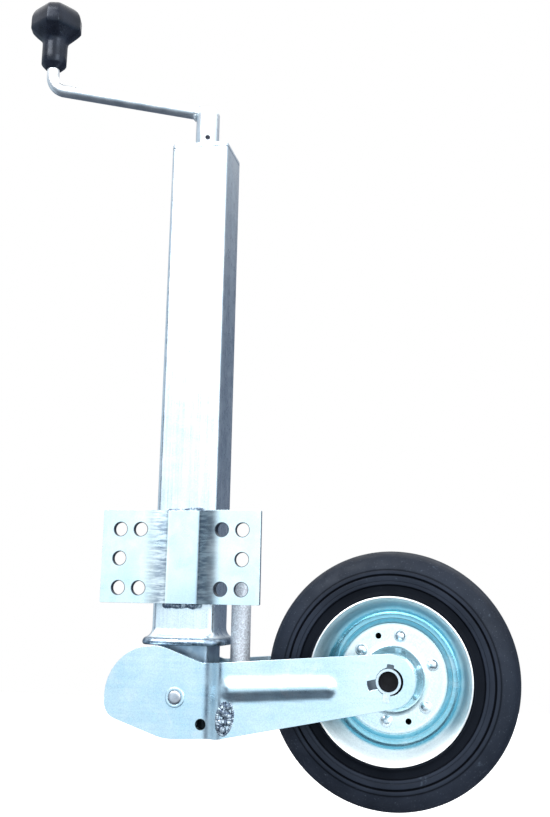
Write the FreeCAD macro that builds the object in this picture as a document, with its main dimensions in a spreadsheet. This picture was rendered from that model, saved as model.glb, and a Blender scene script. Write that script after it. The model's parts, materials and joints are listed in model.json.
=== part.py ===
import FreeCAD
import Part
import Sketcher
import math
import os

# Trailer jack wheel, fully wound in with its wheel folded up.
# Frame: +X points along the folded fork towards the wheel, +Y from the mounting plate
# into the square tube, +Z up along the tube. The origin is the centre of the plate's
# hole pattern, on the front face of its two wings. All sizes are in millimetres.
# Most pieces are drawn in the pivot frame: its origin is the fork's pivot, on the
# tube's axis. The wheel's pieces are drawn in the axle frame.

DIMENSIONS = (
    # mounting plate
    ("pattern_width", 120), ("inner_pattern_width", 80), ("pattern_height", 55),
    ("bolt_hole_radius", 6.5), ("plate_width", 155), ("plate_above", 46), ("plate_below", 41.5),
    ("plate_thickness", 6), ("trough_depth", 9), ("trough_flat", 31), ("trough_mouth", 64),
    ("trough_offset", 1.53), ("trough_bend", 5),
    # places of the tube's axis, the pivot and the axle
    ("axis_depth", 45), ("pivot_drop", 125.5), ("axle_x", 197.4), ("axle_z", 21.1),
    # square tubes
    ("tube_size", 60), ("tube_corner", 5), ("tube_wall", 3), ("tube_foot", 62), ("tube_top", 550),
    ("inner_size", 50), ("inner_corner", 4), ("inner_wall", 4), ("inner_foot", -29.5),
    ("inner_top", 500), ("bush_radius", 12), ("bush_bore", 6.55), ("bush_half_length", 37.4),
    # flared collar on the outer tube's foot
    ("collar_bore", 27.2), ("collar_bottom", 46), ("collar_reach", 40),
    # top cap and its thrust bearing
    ("cap_thickness", 6), ("cap_rounding", 2.5), ("plug_depth", 4), ("boss_radius", 17), ("boss_height", 5),
    ("top_bush_radius", 13), ("journal_radius", 10), ("running_gap", 0.05),
    ("race_inner", 12), ("race_outer", 20), ("race_thickness", 2.5), ("ball_radius", 2.5),
    ("ball_circle", 16), ("ball_count", 12), ("race_foot", 536),
    # threaded spindle and its nut
    ("spindle_foot", 235), ("thread_top", 519), ("thread_pitch", 4), ("thread_depth", 1.5),
    ("collar_radius", 22), ("collar_foot", 530), ("spindle_end", 590), ("spigot_radius", 9),
    ("nut_foot", 470), ("nut_height", 28), ("guide_gap", 0.3), ("guide_height", 25),
    ("liner_foot", 64), ("liner_height", 46),
    # crank
    ("socket_radius", 12.5), ("socket_foot", 562.5), ("socket_top", 606), ("roll_pin_z", 569),
    ("roll_pin_radius", 3.5), ("roll_pin_bore", 2.6), ("roll_pin_turn", 16), ("rod_radius", 7), ("arm_root_z", 600.7),
    ("arm_root_x", -3), ("grip_x", -183), ("grip_corner_z", 645.5), ("grip_end_z", 735),
    ("rod_bend", 20), ("weld_radius", 2), ("crank_weld_radius", 1.2),
    # knob
    ("knob_flat", 24), ("knob_half_side", 15), ("knob_corner", 3), ("knob_turn", 59),
    ("knob_foot", 669), ("knob_foot_height", 5), ("knob_foot_lean", 42), ("knob_neck_radius", 14),
    ("knob_skirt", 705), ("knob_skirt_lean", 44), ("knob_shoulder", 717), ("knob_crown", 731),
    ("knob_crown_lean", 32), ("knob_top", 746),
    ("knob_bore", 7.08), ("knob_cavity_radius", 11), ("knob_cavity_foot", 729),
    # fork plates
    ("fork_thickness", 6), ("fork_inside", 38), ("joggle", 12), ("joggle_start", 30),
    ("lobe_left", -68.5), ("lobe_corner_z", 65), ("lobe_radius", 45.5), ("heel_z", -17.2),
    ("heel_radius", 16), ("sole_left", -9.3), ("sole_z", -37), ("sole_right", 41),
    ("sole_right_z", -34.6), ("arm_valley_x", 25), ("arm_valley_z", 31), ("arm_end_radius", 23.5),
    ("arm_top_z", 46.55), ("arm_bottom_z", 2.05), ("arm_corner_radius", 23),
    ("drain_hole_x", 25.1), ("drain_hole_z", -22.8), ("drain_hole_radius", 4.7),
    ("rib_x", 56), ("rib_z", 9.6), ("rib_length", 88), ("rib_radius", 11.2), ("rib_tilt", 3.2),
    # crossbar, fold stop and pivot pin
    ("crossbar_x", 50.6), ("crossbar_z", -15.5), ("crossbar_width", 14), ("crossbar_height", 28),
    ("crossbar_tilt", 9), ("plug_weld_half_width", 8.5), ("plug_weld_half_height", 16),
    ("plug_weld_rise", 3), ("stop_radius", 9.5), ("stop_weld_radius", 1.2), ("stop_top", 107), ("pin_radius", 6.5), ("pin_reach", 2.6),
    ("pin_ring_radius", 9.1), ("pin_ring_height", 1.5),
    # axle
    ("axle_radius", 11), ("axle_bore", 8.9), ("axle_reach", 1), ("axle_hole_radius", 12.1),
    ("axle_slack", 0.9), ("axle_plug_depth", 4), ("axle_plug_thickness", 5), ("key_recess", 3),
    ("key_rise", 0.8),
    ("key_width", 6.2), ("wide_key_width", 8.4), ("key_reach", 14.8), ("low_key_reach", 17.6),
    ("wide_key_reach", 19), ("upper_key_angle", 82), ("side_key_angle", 193),
    ("spacer_radius", 17), ("spacer_thickness", 4.7),
    # wheel
    ("tyre_radius", 115), ("tyre_half_width", 40), ("rim_sheet", 2.5), ("rim_edge_radius", 72.2),
    ("hub_radius", 20), ("hub_bore", 16.1), ("hub_half_length", 45), ("flange_radius", 48),
    ("flange_half", 4), ("rivet_circle", 38.5), ("rivet_radius", 4), ("rivet_head", 5.2),
    ("rivet_head_height", 2.8), ("rivet_count", 6), ("rivet_turn", 20), ("vent_circle", 40),
    ("vent_radius", 2.8), ("vent_turn", 50), ("roller_radius", 2.45), ("roller_circle", 13.55),
    ("roller_count", 10), ("roller_length", 16), ("roller_start", 26), ("seal_thickness", 2),
)

doc = FreeCAD.newDocument("trailer_jack_wheel")
sheet = doc.addObject("Spreadsheet::Sheet", "dims")
for row, (alias, size) in enumerate(DIMENSIONS, start=1):
    sheet.set(f"A{row}", alias.replace("_", " "))
    sheet.set(f"B{row}", str(size))
    sheet.setAlias(f"B{row}", alias)
doc.recompute()

DEPTH_VIEW = FreeCAD.Rotation(FreeCAD.Vector(1, 0, 0), -90)
CUT_HEIGHT = 150
subparts = []


def number(text):
    """The value of an expression in the sheet's aliases."""
    result = sheet.evalExpression(text)
    return float(getattr(result, "Value", result))


def bind(item, **expressions):
    """Bind properties to expressions; two underscores stand for a dot in a path."""
    for path, text in expressions.items():
        item.setExpression(path.replace("__", "."), text)


def place(item, frame):
    """Put a piece in the pivot frame or the axle frame."""
    places = {
        "plate": ("0", "0", "0"),
        "pivot": ("0", "dims.axis_depth", "-dims.pivot_drop"),
        "axle": ("dims.axle_x", "dims.axis_depth", "dims.axle_z - dims.pivot_drop"),
    }
    for side, text in zip("xyz", places[frame]):
        item.setExpression(f"Placement.Base.{side}", text)


def keep(item, label, frame=None):
    """Name a finished sub-part, place it and list it for writing."""
    item.Label = label
    if frame:
        place(item, frame)
    subparts.append(item)
    return item


# ---------------------------------------------------------------- sketches and features

def new_body(name):
    return doc.addObject("PartDesign::Body", name)


def new_sketch(body, plane, height="0", turn=None, swing=None):
    """A sketch on one of the body's own planes, raised by height along its normal.

    It can be moved and turned in its plane, or swung about its upright axis."""
    sketch = body.newObject("Sketcher::SketchObject", f"{body.Name}_sketch")
    support = [item for item in body.Origin.OriginFeatures if item.Role == plane][0]
    sketch.AttachmentSupport = [(support, "")]
    sketch.MapMode = "FlatFace"
    if turn:
        sketch.AttachmentOffset = FreeCAD.Placement(
            FreeCAD.Vector(number(turn[0]), number(turn[1]), 0),
            FreeCAD.Rotation(FreeCAD.Vector(0, 0, 1), number(turn[2])))
    if swing:
        sketch.AttachmentOffset = FreeCAD.Placement(
            FreeCAD.Vector(), FreeCAD.Rotation(FreeCAD.Vector(0, 1, 0), number(swing)))
    sketch.setExpression("AttachmentOffset.Base.z", height)
    return sketch


def pin_down(sketch, geometry, point, x, y):
    """Hold one point of a sketch at the two bound distances from its origin."""
    for kind, text in (("DistanceX", x), ("DistanceY", y)):
        constraint = Sketcher.Constraint(kind, -1, 1, geometry, point, number(text))
        index = sketch.addConstraint(constraint)
        sketch.setExpression(f"Constraints[{index}]", text)


def circle(sketch, x, y, radius):
    centre = FreeCAD.Vector(number(x), number(y), 0)
    up = FreeCAD.Vector(0, 0, 1)
    ring = sketch.addGeometry(Part.Circle(centre, up, number(radius)))
    pin_down(sketch, ring, 3, x, y)
    index = sketch.addConstraint(Sketcher.Constraint("Radius", ring, number(radius)))
    sketch.setExpression(f"Constraints[{index}]", radius)


def corner_arc(point, before, after, radius):
    """The arc that rounds a corner, and whether it runs from the arriving line."""
    half = before.getAngle(after) / 2
    inward = (before + after).normalize()
    centre = point + inward * (radius / math.sin(half))
    reach = radius / math.tan(half)
    angles = [math.atan2(end.y, end.x)
              for end in (point + before * reach - centre, point + after * reach - centre)]
    forward = (before.cross(after)).z < 0
    if not forward:
        angles.reverse()
    full = Part.Circle(centre, FreeCAD.Vector(0, 0, 1), radius)
    return Part.ArcOfCircle(full, angles[0], angles[1]), forward, reach


def outline(sketch, corners):
    """A closed outline. Each corner is (x, y) or, where it is rounded, (x, y, radius)."""
    points = [FreeCAD.Vector(number(corner[0]), number(corner[1]), 0) for corner in corners]
    count = len(points)
    starts = list(points)
    ends = list(points)
    arcs = {}
    for index, corner in enumerate(corners):
        if len(corner) < 3:
            continue
        before = (points[index - 1] - points[index]).normalize()
        after = (points[(index + 1) % count] - points[index]).normalize()
        arc, forward, reach = corner_arc(points[index], before, after, number(corner[2]))
        ends[index] = points[index] + before * reach
        starts[index] = points[index] + after * reach
        arcs[index] = (arc, forward)
    lines = [sketch.addGeometry(Part.LineSegment(starts[index], ends[(index + 1) % count]))
             for index in range(count)]
    for index, corner in enumerate(corners):
        arriving, leaving = lines[index - 1], lines[index]
        if index not in arcs:
            sketch.addConstraint(Sketcher.Constraint("Coincident", arriving, 2, leaving, 1))
            pin_down(sketch, leaving, 1, corner[0], corner[1])
            continue
        arc, forward = arcs[index]
        bend = sketch.addGeometry(arc)
        first, last = (1, 2) if forward else (2, 1)
        tip = sketch.addGeometry(Part.Point(points[index]), True)
        for joint in (Sketcher.Constraint("Tangent", arriving, 2, bend, first),
                      Sketcher.Constraint("Tangent", bend, last, leaving, 1),
                      Sketcher.Constraint("PointOnObject", tip, 1, arriving),
                      Sketcher.Constraint("PointOnObject", tip, 1, leaving)):
            sketch.addConstraint(joint)
        radius = sketch.addConstraint(Sketcher.Constraint("Radius", bend, number(corner[2])))
        sketch.setExpression(f"Constraints[{radius}]", corner[2])
        pin_down(sketch, tip, 1, corner[0], corner[1])


def rounded_square(sketch, size, radius):
    half = f"({size}) / 2"
    outline(sketch, [(half, half, radius), (f"-{half}", half, radius),
                     (f"-{half}", f"-{half}", radius), (half, f"-{half}", radius)])


def pad(body, sketch, length, taper=None, reverse=False, both=False):
    feature = body.newObject("PartDesign::Pad", f"{body.Name}_pad")
    feature.Profile = sketch
    feature.Reversed = reverse
    if both:
        feature.SideType = "Symmetric"
    bind(feature, Length=length)
    if taper:
        bind(feature, TaperAngle=taper)
    return feature


def pocket(body, sketch, length, both=False):
    feature = body.newObject("PartDesign::Pocket", f"{body.Name}_pocket")
    feature.Profile = sketch
    if both:
        feature.SideType = "Symmetric"
    bind(feature, Length=length)
    return feature


def revolve(body, sketch, axis="V_Axis", angle=360, kind="Revolution", reverse=False):
    feature = body.newObject(f"PartDesign::{kind}", f"{body.Name}_{kind.lower()}")
    feature.Profile = sketch
    feature.ReferenceAxis = (sketch, [axis])
    feature.Angle = angle
    feature.Reversed = reverse
    return feature


def polar(body, feature, sketch, count):
    """Repeat a feature about the sketch's normal and make the pattern count."""
    pattern = body.newObject("PartDesign::PolarPattern", f"{body.Name}_pattern")
    pattern.Originals = [feature]
    pattern.Axis = (sketch, ["N_Axis"])
    pattern.Angle = 360
    bind(pattern, Occurrences=count)
    body.Tip = pattern
    return pattern


def turned(name, profile, frame, plane="XZ_Plane"):
    """A body of revolution: about Z from the XZ plane, about Y from the XY plane."""
    body = new_body(name)
    sketch = new_sketch(body, plane)
    outline(sketch, profile)
    revolve(body, sketch)
    return keep(body, name, frame)


def ring_profile(inner, outer, low, high):
    return [(inner, low), (outer, low), (outer, high), (inner, high)]


def mirrored(source, label):
    """The far-side twin of a near-side piece, mirrored across the tube's mid-plane."""
    twin = doc.addObject("Part::Mirroring", label)
    twin.Source = source
    twin.Normal = FreeCAD.Vector(0, 1, 0)
    twin.setExpression("Base.y", "dims.axis_depth")
    return keep(twin, label)


def group(name, shapes, frame):
    """Identical loose solids that share one node."""
    feature = doc.addObject("Part::Feature", name)
    feature.Shape = Part.makeCompound(shapes)
    return keep(feature, name, frame)


# ---------------------------------------------------------------- outer tube and plate

def mounting_plate():
    body = new_body("mounting_plate")
    section = new_sketch(body, "XY_Plane", "-dims.plate_below")
    edge, mouth, flat = "dims.plate_width / 2", "dims.trough_mouth / 2", "dims.trough_flat / 2"
    front, back = "dims.trough_depth", "dims.trough_depth + dims.plate_thickness"
    thick, shift, bend = "dims.plate_thickness", "dims.trough_offset", "dims.trough_bend"
    right = [(flat, front), (mouth, "0", bend), (edge, "0"), (edge, thick),
             (f"{mouth} + {shift}", thick), (f"{flat} + {shift}", back)]
    left = [(f"-({x})", y, *more) for x, y, *more in reversed(right)]
    outline(section, right + left)
    pad(body, section, "dims.plate_above + dims.plate_below")
    holes = new_sketch(body, "XZ_Plane")
    half_width, half_height = "dims.pattern_width / 2", "dims.pattern_height / 2"
    inner = "dims.inner_pattern_width / 2"
    for side in ("", "-"):
        circle(holes, f"{side}({half_width})", "0", "dims.bolt_hole_radius")
        for level in ("", "-"):
            for x in (half_width, inner):
                circle(holes, f"{side}({x})", f"{level}({half_height})", "dims.bolt_hole_radius")
    pocket(body, holes, "dims.trough_depth")
    return keep(body, "mounting_plate", "plate")


def plate_welds():
    """Weld beads along the tube's corners and along the trough's two ends."""
    bead = number("dims.weld_radius") + 1
    tall = number("dims.plate_above + dims.plate_below") - 8
    low = number("dims.pivot_drop - dims.plate_below")
    high = number("dims.pivot_drop + dims.plate_above")
    side = number("dims.tube_size") / 2
    along_x = FreeCAD.Vector(1, 0, 0)
    up = FreeCAD.Vector(0, 0, 1)
    beads = [Part.makeCylinder(bead, tall, FreeCAD.Vector(x, -side - 2.6, low + 4), up)
             for x in (-side + 1, side - 1)]
    width = number("dims.trough_flat")
    beads += [Part.makeCylinder(bead, width, FreeCAD.Vector(-width / 2, -side - 1, z), along_x)
              for z in (low - 1, high + 1)]
    return group("plate_welds", beads, "pivot")


def outer_tube():
    body = new_body("outer_tube")
    section = new_sketch(body, "XY_Plane", "dims.tube_foot")
    rounded_square(section, "dims.tube_size", "dims.tube_corner")
    rounded_square(section, "dims.tube_size - 2 * dims.tube_wall",
                   "dims.tube_corner - dims.tube_wall")
    pad(body, section, "dims.tube_top - dims.tube_foot")
    return keep(body, "outer_tube", "pivot")


def bell_mouth():
    """Flared collar: its section is swept round a square path with rounded corners."""
    body = new_body("bell_mouth")
    path = new_sketch(body, "XY_Plane", "dims.collar_bottom")
    bore = "dims.collar_bore"
    outline(path, [(bore, "0"), (bore, bore, "3"), (f"-{bore}", bore, "3"),
                   (f"-{bore}", f"-{bore}", "3"), (bore, f"-{bore}", "3")])
    section = new_sketch(body, "XZ_Plane")
    low, reach, top = "dims.collar_bottom", "dims.collar_reach", "dims.tube_foot"
    outside = "dims.tube_size / 2"
    outline(section, [(bore, top), (bore, f"{low} + 9"), (f"{reach} - 7", low, "5"),
                      (reach, low, "3"), (reach, f"{low} + 6.5", "2.5"),
                      (f"{outside} + 0.5", f"{low} + 8", "7"), (outside, top)])
    feature = body.newObject("PartDesign::AdditivePipe", "bell_mouth_pipe")
    feature.Profile = section
    feature.Spine = (path, [])
    return keep(body, "bell_mouth", "pivot")


def outer_rim(shape, level, reach):
    """Names of the level edges at one height that lie further out than reach."""
    names = []
    for index, edge in enumerate(shape.Edges, start=1):
        box = edge.BoundBox
        flat = box.ZLength < 0.01 and abs(box.ZMax - level) < 0.01
        far = max(abs(box.XMax), abs(box.YMax), abs(box.XMin), abs(box.YMin)) > reach
        if flat and far:
            names.append(f"Edge{index}")
    return names


def top_cap():
    body = new_body("top_cap")
    lid = new_sketch(body, "XY_Plane", "dims.tube_top")
    rounded_square(lid, "dims.tube_size", "dims.tube_corner")
    pad(body, lid, "dims.cap_thickness")
    plug = new_sketch(body, "XY_Plane", "dims.tube_top")
    rounded_square(plug, "dims.tube_size - 2 * dims.tube_wall",
                   "dims.tube_corner - dims.tube_wall")
    pad(body, plug, "dims.plug_depth", reverse=True)
    boss = new_sketch(body, "XY_Plane", "dims.tube_top + dims.cap_thickness")
    circle(boss, "0", "0", "dims.boss_radius")
    pad(body, boss, "dims.boss_height")
    bore = new_sketch(body, "XY_Plane", "dims.tube_top + dims.cap_thickness + dims.boss_height")
    circle(bore, "0", "0", "dims.top_bush_radius")
    pocket(body, bore, "dims.plug_depth + dims.cap_thickness + dims.boss_height + 1")
    doc.recompute()
    drilled = body.Tip
    rim = outer_rim(drilled.Shape, number("dims.tube_top + dims.cap_thickness"),
                    number("dims.boss_radius") + 1)
    rounding = body.newObject("PartDesign::Fillet", "top_cap_fillet")
    rounding.Base = (drilled, rim)
    bind(rounding, Radius="dims.cap_rounding")
    return keep(body, "top_cap", "pivot")


def sliding_guides():
    """Nylon liner fixed in the outer tube's foot, and the ring round the inner tube's head."""
    liner = new_body("guide_liner")
    section = new_sketch(liner, "XY_Plane", "dims.liner_foot")
    rounded_square(section, "dims.tube_size - 2 * dims.tube_wall",
                   "dims.tube_corner - dims.tube_wall")
    rounded_square(section, "dims.inner_size + 2 * dims.guide_gap",
                   "dims.inner_corner + dims.guide_gap")
    pad(liner, section, "dims.liner_height")
    keep(liner, "guide_liner", "pivot")
    ring = new_body("guide_ring")
    section = new_sketch(ring, "XY_Plane", "dims.nut_foot")
    rounded_square(section, "dims.tube_size - 2 * dims.tube_wall - 2 * dims.guide_gap",
                   "dims.tube_corner - dims.tube_wall")
    rounded_square(section, "dims.inner_size", "dims.inner_corner")
    pad(ring, section, "dims.guide_height")
    keep(ring, "guide_ring", "pivot")


# ---------------------------------------------------------------- spindle drive

def thrust_bearing():
    foot, sheet_thick = "dims.race_foot", "dims.race_thickness"
    inner, outer = "dims.race_inner", "dims.race_outer"
    turned("thrust_race_lower", ring_profile(inner, outer, foot, f"{foot} + {sheet_thick}"),
           "pivot")
    roof = "dims.tube_top - dims.plug_depth"
    turned("thrust_race_upper", ring_profile(inner, outer, f"{roof} - 2.4", roof), "pivot")
    level = number(f"{foot} + {sheet_thick} + dims.ball_radius")
    count = int(number("dims.ball_count"))
    radius, circle_radius = number("dims.ball_radius"), number("dims.ball_circle")
    centres = [FreeCAD.Vector(circle_radius * math.cos(math.tau * turn / count),
                              circle_radius * math.sin(math.tau * turn / count), level)
               for turn in range(count)]
    group("thrust_balls", [Part.makeSphere(radius, centre) for centre in centres], "pivot")
    cage = new_body("thrust_cage")
    band = new_sketch(cage, "XZ_Plane")
    middle = f"{foot} + {sheet_thick} + dims.ball_radius"
    outline(band, ring_profile(f"{inner} + 0.6", f"{outer} - 0.6", f"{middle} - 0.8",
                               f"{middle} + 0.8"))
    revolve(cage, band)
    hole = new_sketch(cage, "XY_Plane", f"{middle} + 1")
    circle(hole, "dims.ball_circle", "0", "dims.ball_radius + 0.05")
    first = pocket(cage, hole, "2")
    polar(cage, first, hole, "dims.ball_count")
    keep(cage, "thrust_cage", "pivot")


def top_bush():
    top = "dims.tube_top + dims.cap_thickness + dims.boss_height + 0.5"
    turned("top_bush", ring_profile("dims.journal_radius + dims.running_gap",
                                    "dims.top_bush_radius",
                                    "dims.tube_top - dims.plug_depth", top), "pivot")


def spindle():
    """Turned spindle: ring grooves at the thread's pitch, a thrust collar and a spigot."""
    body = new_body("spindle")
    profile = new_sketch(body, "XZ_Plane")
    journal, spigot = "dims.journal_radius", "dims.spigot_radius"
    outline(profile, [("0", "dims.spindle_foot"), (f"{journal} - 2", "dims.spindle_foot"),
                      (journal, "dims.spindle_foot + 2"), (journal, "dims.collar_foot"),
                      ("dims.collar_radius", "dims.collar_foot"),
                      ("dims.collar_radius", "dims.race_foot"), (journal, "dims.race_foot"),
                      (journal, "dims.socket_foot"), (spigot, "dims.socket_foot"),
                      (spigot, "dims.spindle_end - 1"), (f"{spigot} - 1", "dims.spindle_end"),
                      ("0", "dims.spindle_end")])
    revolve(body, profile)
    pin_hole = new_sketch(body, "XZ_Plane", swing="dims.roll_pin_turn")
    circle(pin_hole, "0", "dims.roll_pin_z", "dims.roll_pin_radius")
    pocket(body, pin_hole, "4 * dims.socket_radius", both=True)
    thread = new_sketch(body, "XZ_Plane")
    start, depth = "dims.spindle_foot + 6", "dims.thread_depth"
    outline(thread, [(f"{journal} + 1", f"{start} + 2.6"), (f"{journal} - {depth}", f"{start} + 1.7"),
                     (f"{journal} - {depth}", f"{start} + 0.9"), (f"{journal} + 1", start)])
    groove = revolve(body, thread, kind="Groove")
    rows = body.newObject("PartDesign::LinearPattern", "spindle_thread")
    rows.Originals = [groove]
    rows.Direction = (profile, ["V_Axis"])
    rows.Mode = "Spacing"
    bind(rows, Offset="dims.thread_pitch",
         Occurrences="floor((dims.thread_top - dims.spindle_foot) / dims.thread_pitch) - 2")
    body.Tip = rows
    return keep(body, "spindle", "pivot")


def spindle_nut():
    body = new_body("spindle_nut")
    block = new_sketch(body, "XY_Plane", "dims.nut_foot")
    rounded_square(block, "dims.inner_size - 2 * dims.inner_wall", "1.5")
    circle(block, "0", "0", "dims.journal_radius + dims.running_gap")
    pad(body, block, "dims.nut_height")
    return keep(body, "spindle_nut", "pivot")


def inner_tube():
    body = new_body("inner_tube")
    section = new_sketch(body, "XY_Plane", "dims.inner_foot")
    rounded_square(section, "dims.inner_size", "dims.inner_corner")
    rounded_square(section, "dims.inner_size - 2 * dims.inner_wall", "1.5")
    pad(body, section, "dims.inner_top - dims.inner_foot")
    hole = new_sketch(body, "XZ_Plane")
    circle(hole, "0", "0", "dims.bush_radius")
    pocket(body, hole, "2 * dims.inner_size", both=True)
    return keep(body, "inner_tube", "pivot")


def pivot_bush():
    half = "dims.bush_half_length"
    turned("pivot_bush", ring_profile("dims.bush_bore", "dims.bush_radius", f"-{half}", half),
           "pivot", "XY_Plane")


# ---------------------------------------------------------------- crank and knob

def crank_rod():
    """Round rod: an arm that rises from the socket, one bend, and an upright grip."""
    body = new_body("crank_rod")
    route = new_sketch(body, "XZ_Plane")
    top = FreeCAD.Vector(number("dims.grip_x"), number("dims.grip_end_z"), 0)
    bend = FreeCAD.Vector(number("dims.grip_x"), number("dims.grip_corner_z"), 0)
    root = FreeCAD.Vector(number("dims.arm_root_x"), number("dims.arm_root_z"), 0)
    up, along = (top - bend).normalize(), (root - bend).normalize()
    arc, forward, reach = corner_arc(bend, up, along, number("dims.rod_bend"))
    grip = route.addGeometry(Part.LineSegment(top, bend + up * reach))
    turn = route.addGeometry(arc)
    arm = route.addGeometry(Part.LineSegment(bend + along * reach, root))
    corner = route.addGeometry(Part.Point(bend), True)
    first, last = (1, 2) if forward else (2, 1)
    for joint in (Sketcher.Constraint("Tangent", grip, 2, turn, first),
                  Sketcher.Constraint("Tangent", turn, last, arm, 1),
                  Sketcher.Constraint("PointOnObject", corner, 1, grip),
                  Sketcher.Constraint("PointOnObject", corner, 1, arm)):
        route.addConstraint(joint)
    radius = route.addConstraint(Sketcher.Constraint("Radius", turn, number("dims.rod_bend")))
    route.setExpression(f"Constraints[{radius}]", "dims.rod_bend")
    pin_down(route, corner, 1, "dims.grip_x", "dims.grip_corner_z")
    pin_down(route, grip, 1, "dims.grip_x", "dims.grip_end_z")
    pin_down(route, arm, 2, "dims.arm_root_x", "dims.arm_root_z")
    end = new_sketch(body, "XY_Plane", "dims.grip_end_z")
    circle(end, "dims.grip_x", "0", "dims.rod_radius")
    pipe = body.newObject("PartDesign::AdditivePipe", "crank_rod_pipe")
    pipe.Profile = end
    pipe.Spine = (route, [])
    return keep(body, "crank_rod", "pivot")


def crank_socket(rod):
    """Domed sleeve on the spindle's end, notched for the rod that is welded into it."""
    blank = new_body("crank_socket_blank")
    profile = new_sketch(blank, "XZ_Plane")
    radius, bore = "dims.socket_radius", "dims.spigot_radius"
    outline(profile, [(bore, "dims.socket_foot"), (radius, "dims.socket_foot"),
                      (radius, "dims.socket_top", "8"), ("0", "dims.socket_top"),
                      ("0", "dims.spindle_end"), (bore, "dims.spindle_end")])
    revolve(blank, profile)
    pin_hole = new_sketch(blank, "XZ_Plane", swing="dims.roll_pin_turn")
    circle(pin_hole, "0", "dims.roll_pin_z", "dims.roll_pin_radius")
    pocket(blank, pin_hole, "4 * dims.socket_radius", both=True)
    place(blank, "pivot")
    socket = doc.addObject("Part::Cut", "crank_socket")
    socket.Base = blank
    socket.Tool = rod
    return keep(socket, "crank_socket")


def arm_direction():
    run = FreeCAD.Vector(number("dims.grip_x - dims.arm_root_x"), 0,
                         number("dims.grip_corner_z - dims.arm_root_z"))
    return run.normalize()


def crank_weld():
    """Bead round the rod where it leaves the socket."""
    along = arm_direction()
    root = FreeCAD.Vector(number("dims.arm_root_x"), 0, number("dims.arm_root_z"))
    centre = root + along * (number("dims.socket_radius + dims.arm_root_x") / -along.x)
    rod, bead = number("dims.rod_radius"), number("dims.crank_weld_radius")
    return group("crank_weld", [Part.makeTorus(rod, bead, centre, along)], "pivot")


def roll_pin():
    body = new_body("roll_pin")
    ends = new_sketch(body, "XZ_Plane", swing="dims.roll_pin_turn")
    circle(ends, "0", "dims.roll_pin_z", "dims.roll_pin_radius")
    circle(ends, "0", "dims.roll_pin_z", "dims.roll_pin_bore")
    pad(body, ends, "2 * dims.socket_radius - 1", both=True)
    return keep(body, "roll_pin", "pivot")


def octagon(body, height):
    """The knob's section: a square with cut and rounded corners, turned about the grip."""
    sketch = new_sketch(body, "XY_Plane", height, ("dims.grip_x", "0", "dims.knob_turn"))
    far, side, round_corner = "dims.knob_flat", "dims.knob_half_side", "dims.knob_corner"
    outline(sketch, [(far, side, round_corner), (side, far, round_corner),
                     (f"-{side}", far, round_corner), (f"-{far}", side, round_corner),
                     (f"-{far}", f"-{side}", round_corner), (f"-{side}", f"-{far}", round_corner),
                     (side, f"-{far}", round_corner), (far, f"-{side}", round_corner)])
    return sketch


def knob():
    """Eight-sided knob: upright flats, sloped crown and skirt, and a round neck."""
    body = new_body("knob")
    pad(body, octagon(body, "dims.knob_shoulder"), "dims.knob_crown - dims.knob_shoulder")
    pad(body, octagon(body, "dims.knob_crown"), "dims.knob_top - dims.knob_crown",
        taper="-dims.knob_crown_lean")
    pad(body, octagon(body, "dims.knob_shoulder"), "dims.knob_shoulder - dims.knob_skirt",
        taper="-dims.knob_skirt_lean", reverse=True)
    neck = new_sketch(body, "XY_Plane", "dims.knob_foot + dims.knob_foot_height")
    circle(neck, "dims.grip_x", "0", "dims.knob_neck_radius")
    pad(body, neck, "dims.knob_skirt - dims.knob_foot")
    foot = new_sketch(body, "XY_Plane", "dims.knob_foot + dims.knob_foot_height")
    circle(foot, "dims.grip_x", "0", "dims.knob_neck_radius")
    pad(body, foot, "dims.knob_foot_height", taper="-dims.knob_foot_lean", reverse=True)
    bore = new_sketch(body, "XY_Plane", "dims.knob_top + 1")
    circle(bore, "dims.grip_x", "0", "dims.knob_bore")
    pocket(body, bore, "dims.knob_top - dims.knob_foot + 2")
    cavity = new_sketch(body, "XY_Plane", "dims.knob_top + 1")
    circle(cavity, "dims.grip_x", "0", "dims.knob_cavity_radius")
    pocket(body, cavity, "dims.knob_top + 1 - dims.knob_cavity_foot")
    return keep(body, "knob", "pivot")


def knob_details():
    """Plug that closes the knob's crown, and the push nut that holds the knob on its rod."""
    plug = new_body("knob_cap")
    disc = new_sketch(plug, "XY_Plane", "dims.knob_top - 5")
    circle(disc, "dims.grip_x", "0", "dims.knob_cavity_radius")
    pad(plug, disc, "5")
    keep(plug, "knob_cap", "pivot")
    nut = new_body("knob_push_nut")
    washer = new_sketch(nut, "XY_Plane", "dims.grip_end_z - 4")
    circle(washer, "dims.grip_x", "0", "dims.knob_cavity_radius - 1")
    circle(washer, "dims.grip_x", "0", "dims.rod_radius")
    pad(nut, washer, "1.5")
    keep(nut, "knob_push_nut", "pivot")


# ---------------------------------------------------------------- fork

KEYS = {
    "upper": ("dims.upper_key_angle", "dims.key_width", "dims.key_reach"),
    "side": ("dims.side_key_angle", "dims.wide_key_width", "dims.wide_key_reach"),
    "lower": ("dims.upper_key_angle + 180", "dims.key_width", "dims.low_key_reach"),
}


def key_bar(name, side, recess="0"):
    """A bar from the axle's middle outwards, as deep as the near plate less its recess."""
    angle, width, reach = KEYS[side]
    face = "(dims.fork_inside + dims.joggle + dims.fork_thickness)"
    bar = doc.addObject("Part::Box", f"{name}_{side}")
    bind(bar, Length=reach, Height=width, Width=f"dims.fork_thickness - ({recess})")
    turn = FreeCAD.Rotation(FreeCAD.Vector(0, -1, 0), number(angle))
    corner = turn.multVec(FreeCAD.Vector(0, 0, -number(f"{width} / 2")))
    bar.Placement = FreeCAD.Placement(corner + FreeCAD.Vector(
        number("dims.axle_x"), number(f"dims.axis_depth - {face} + ({recess})"),
        number("dims.axle_z - dims.pivot_drop")), turn)
    return bar


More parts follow.
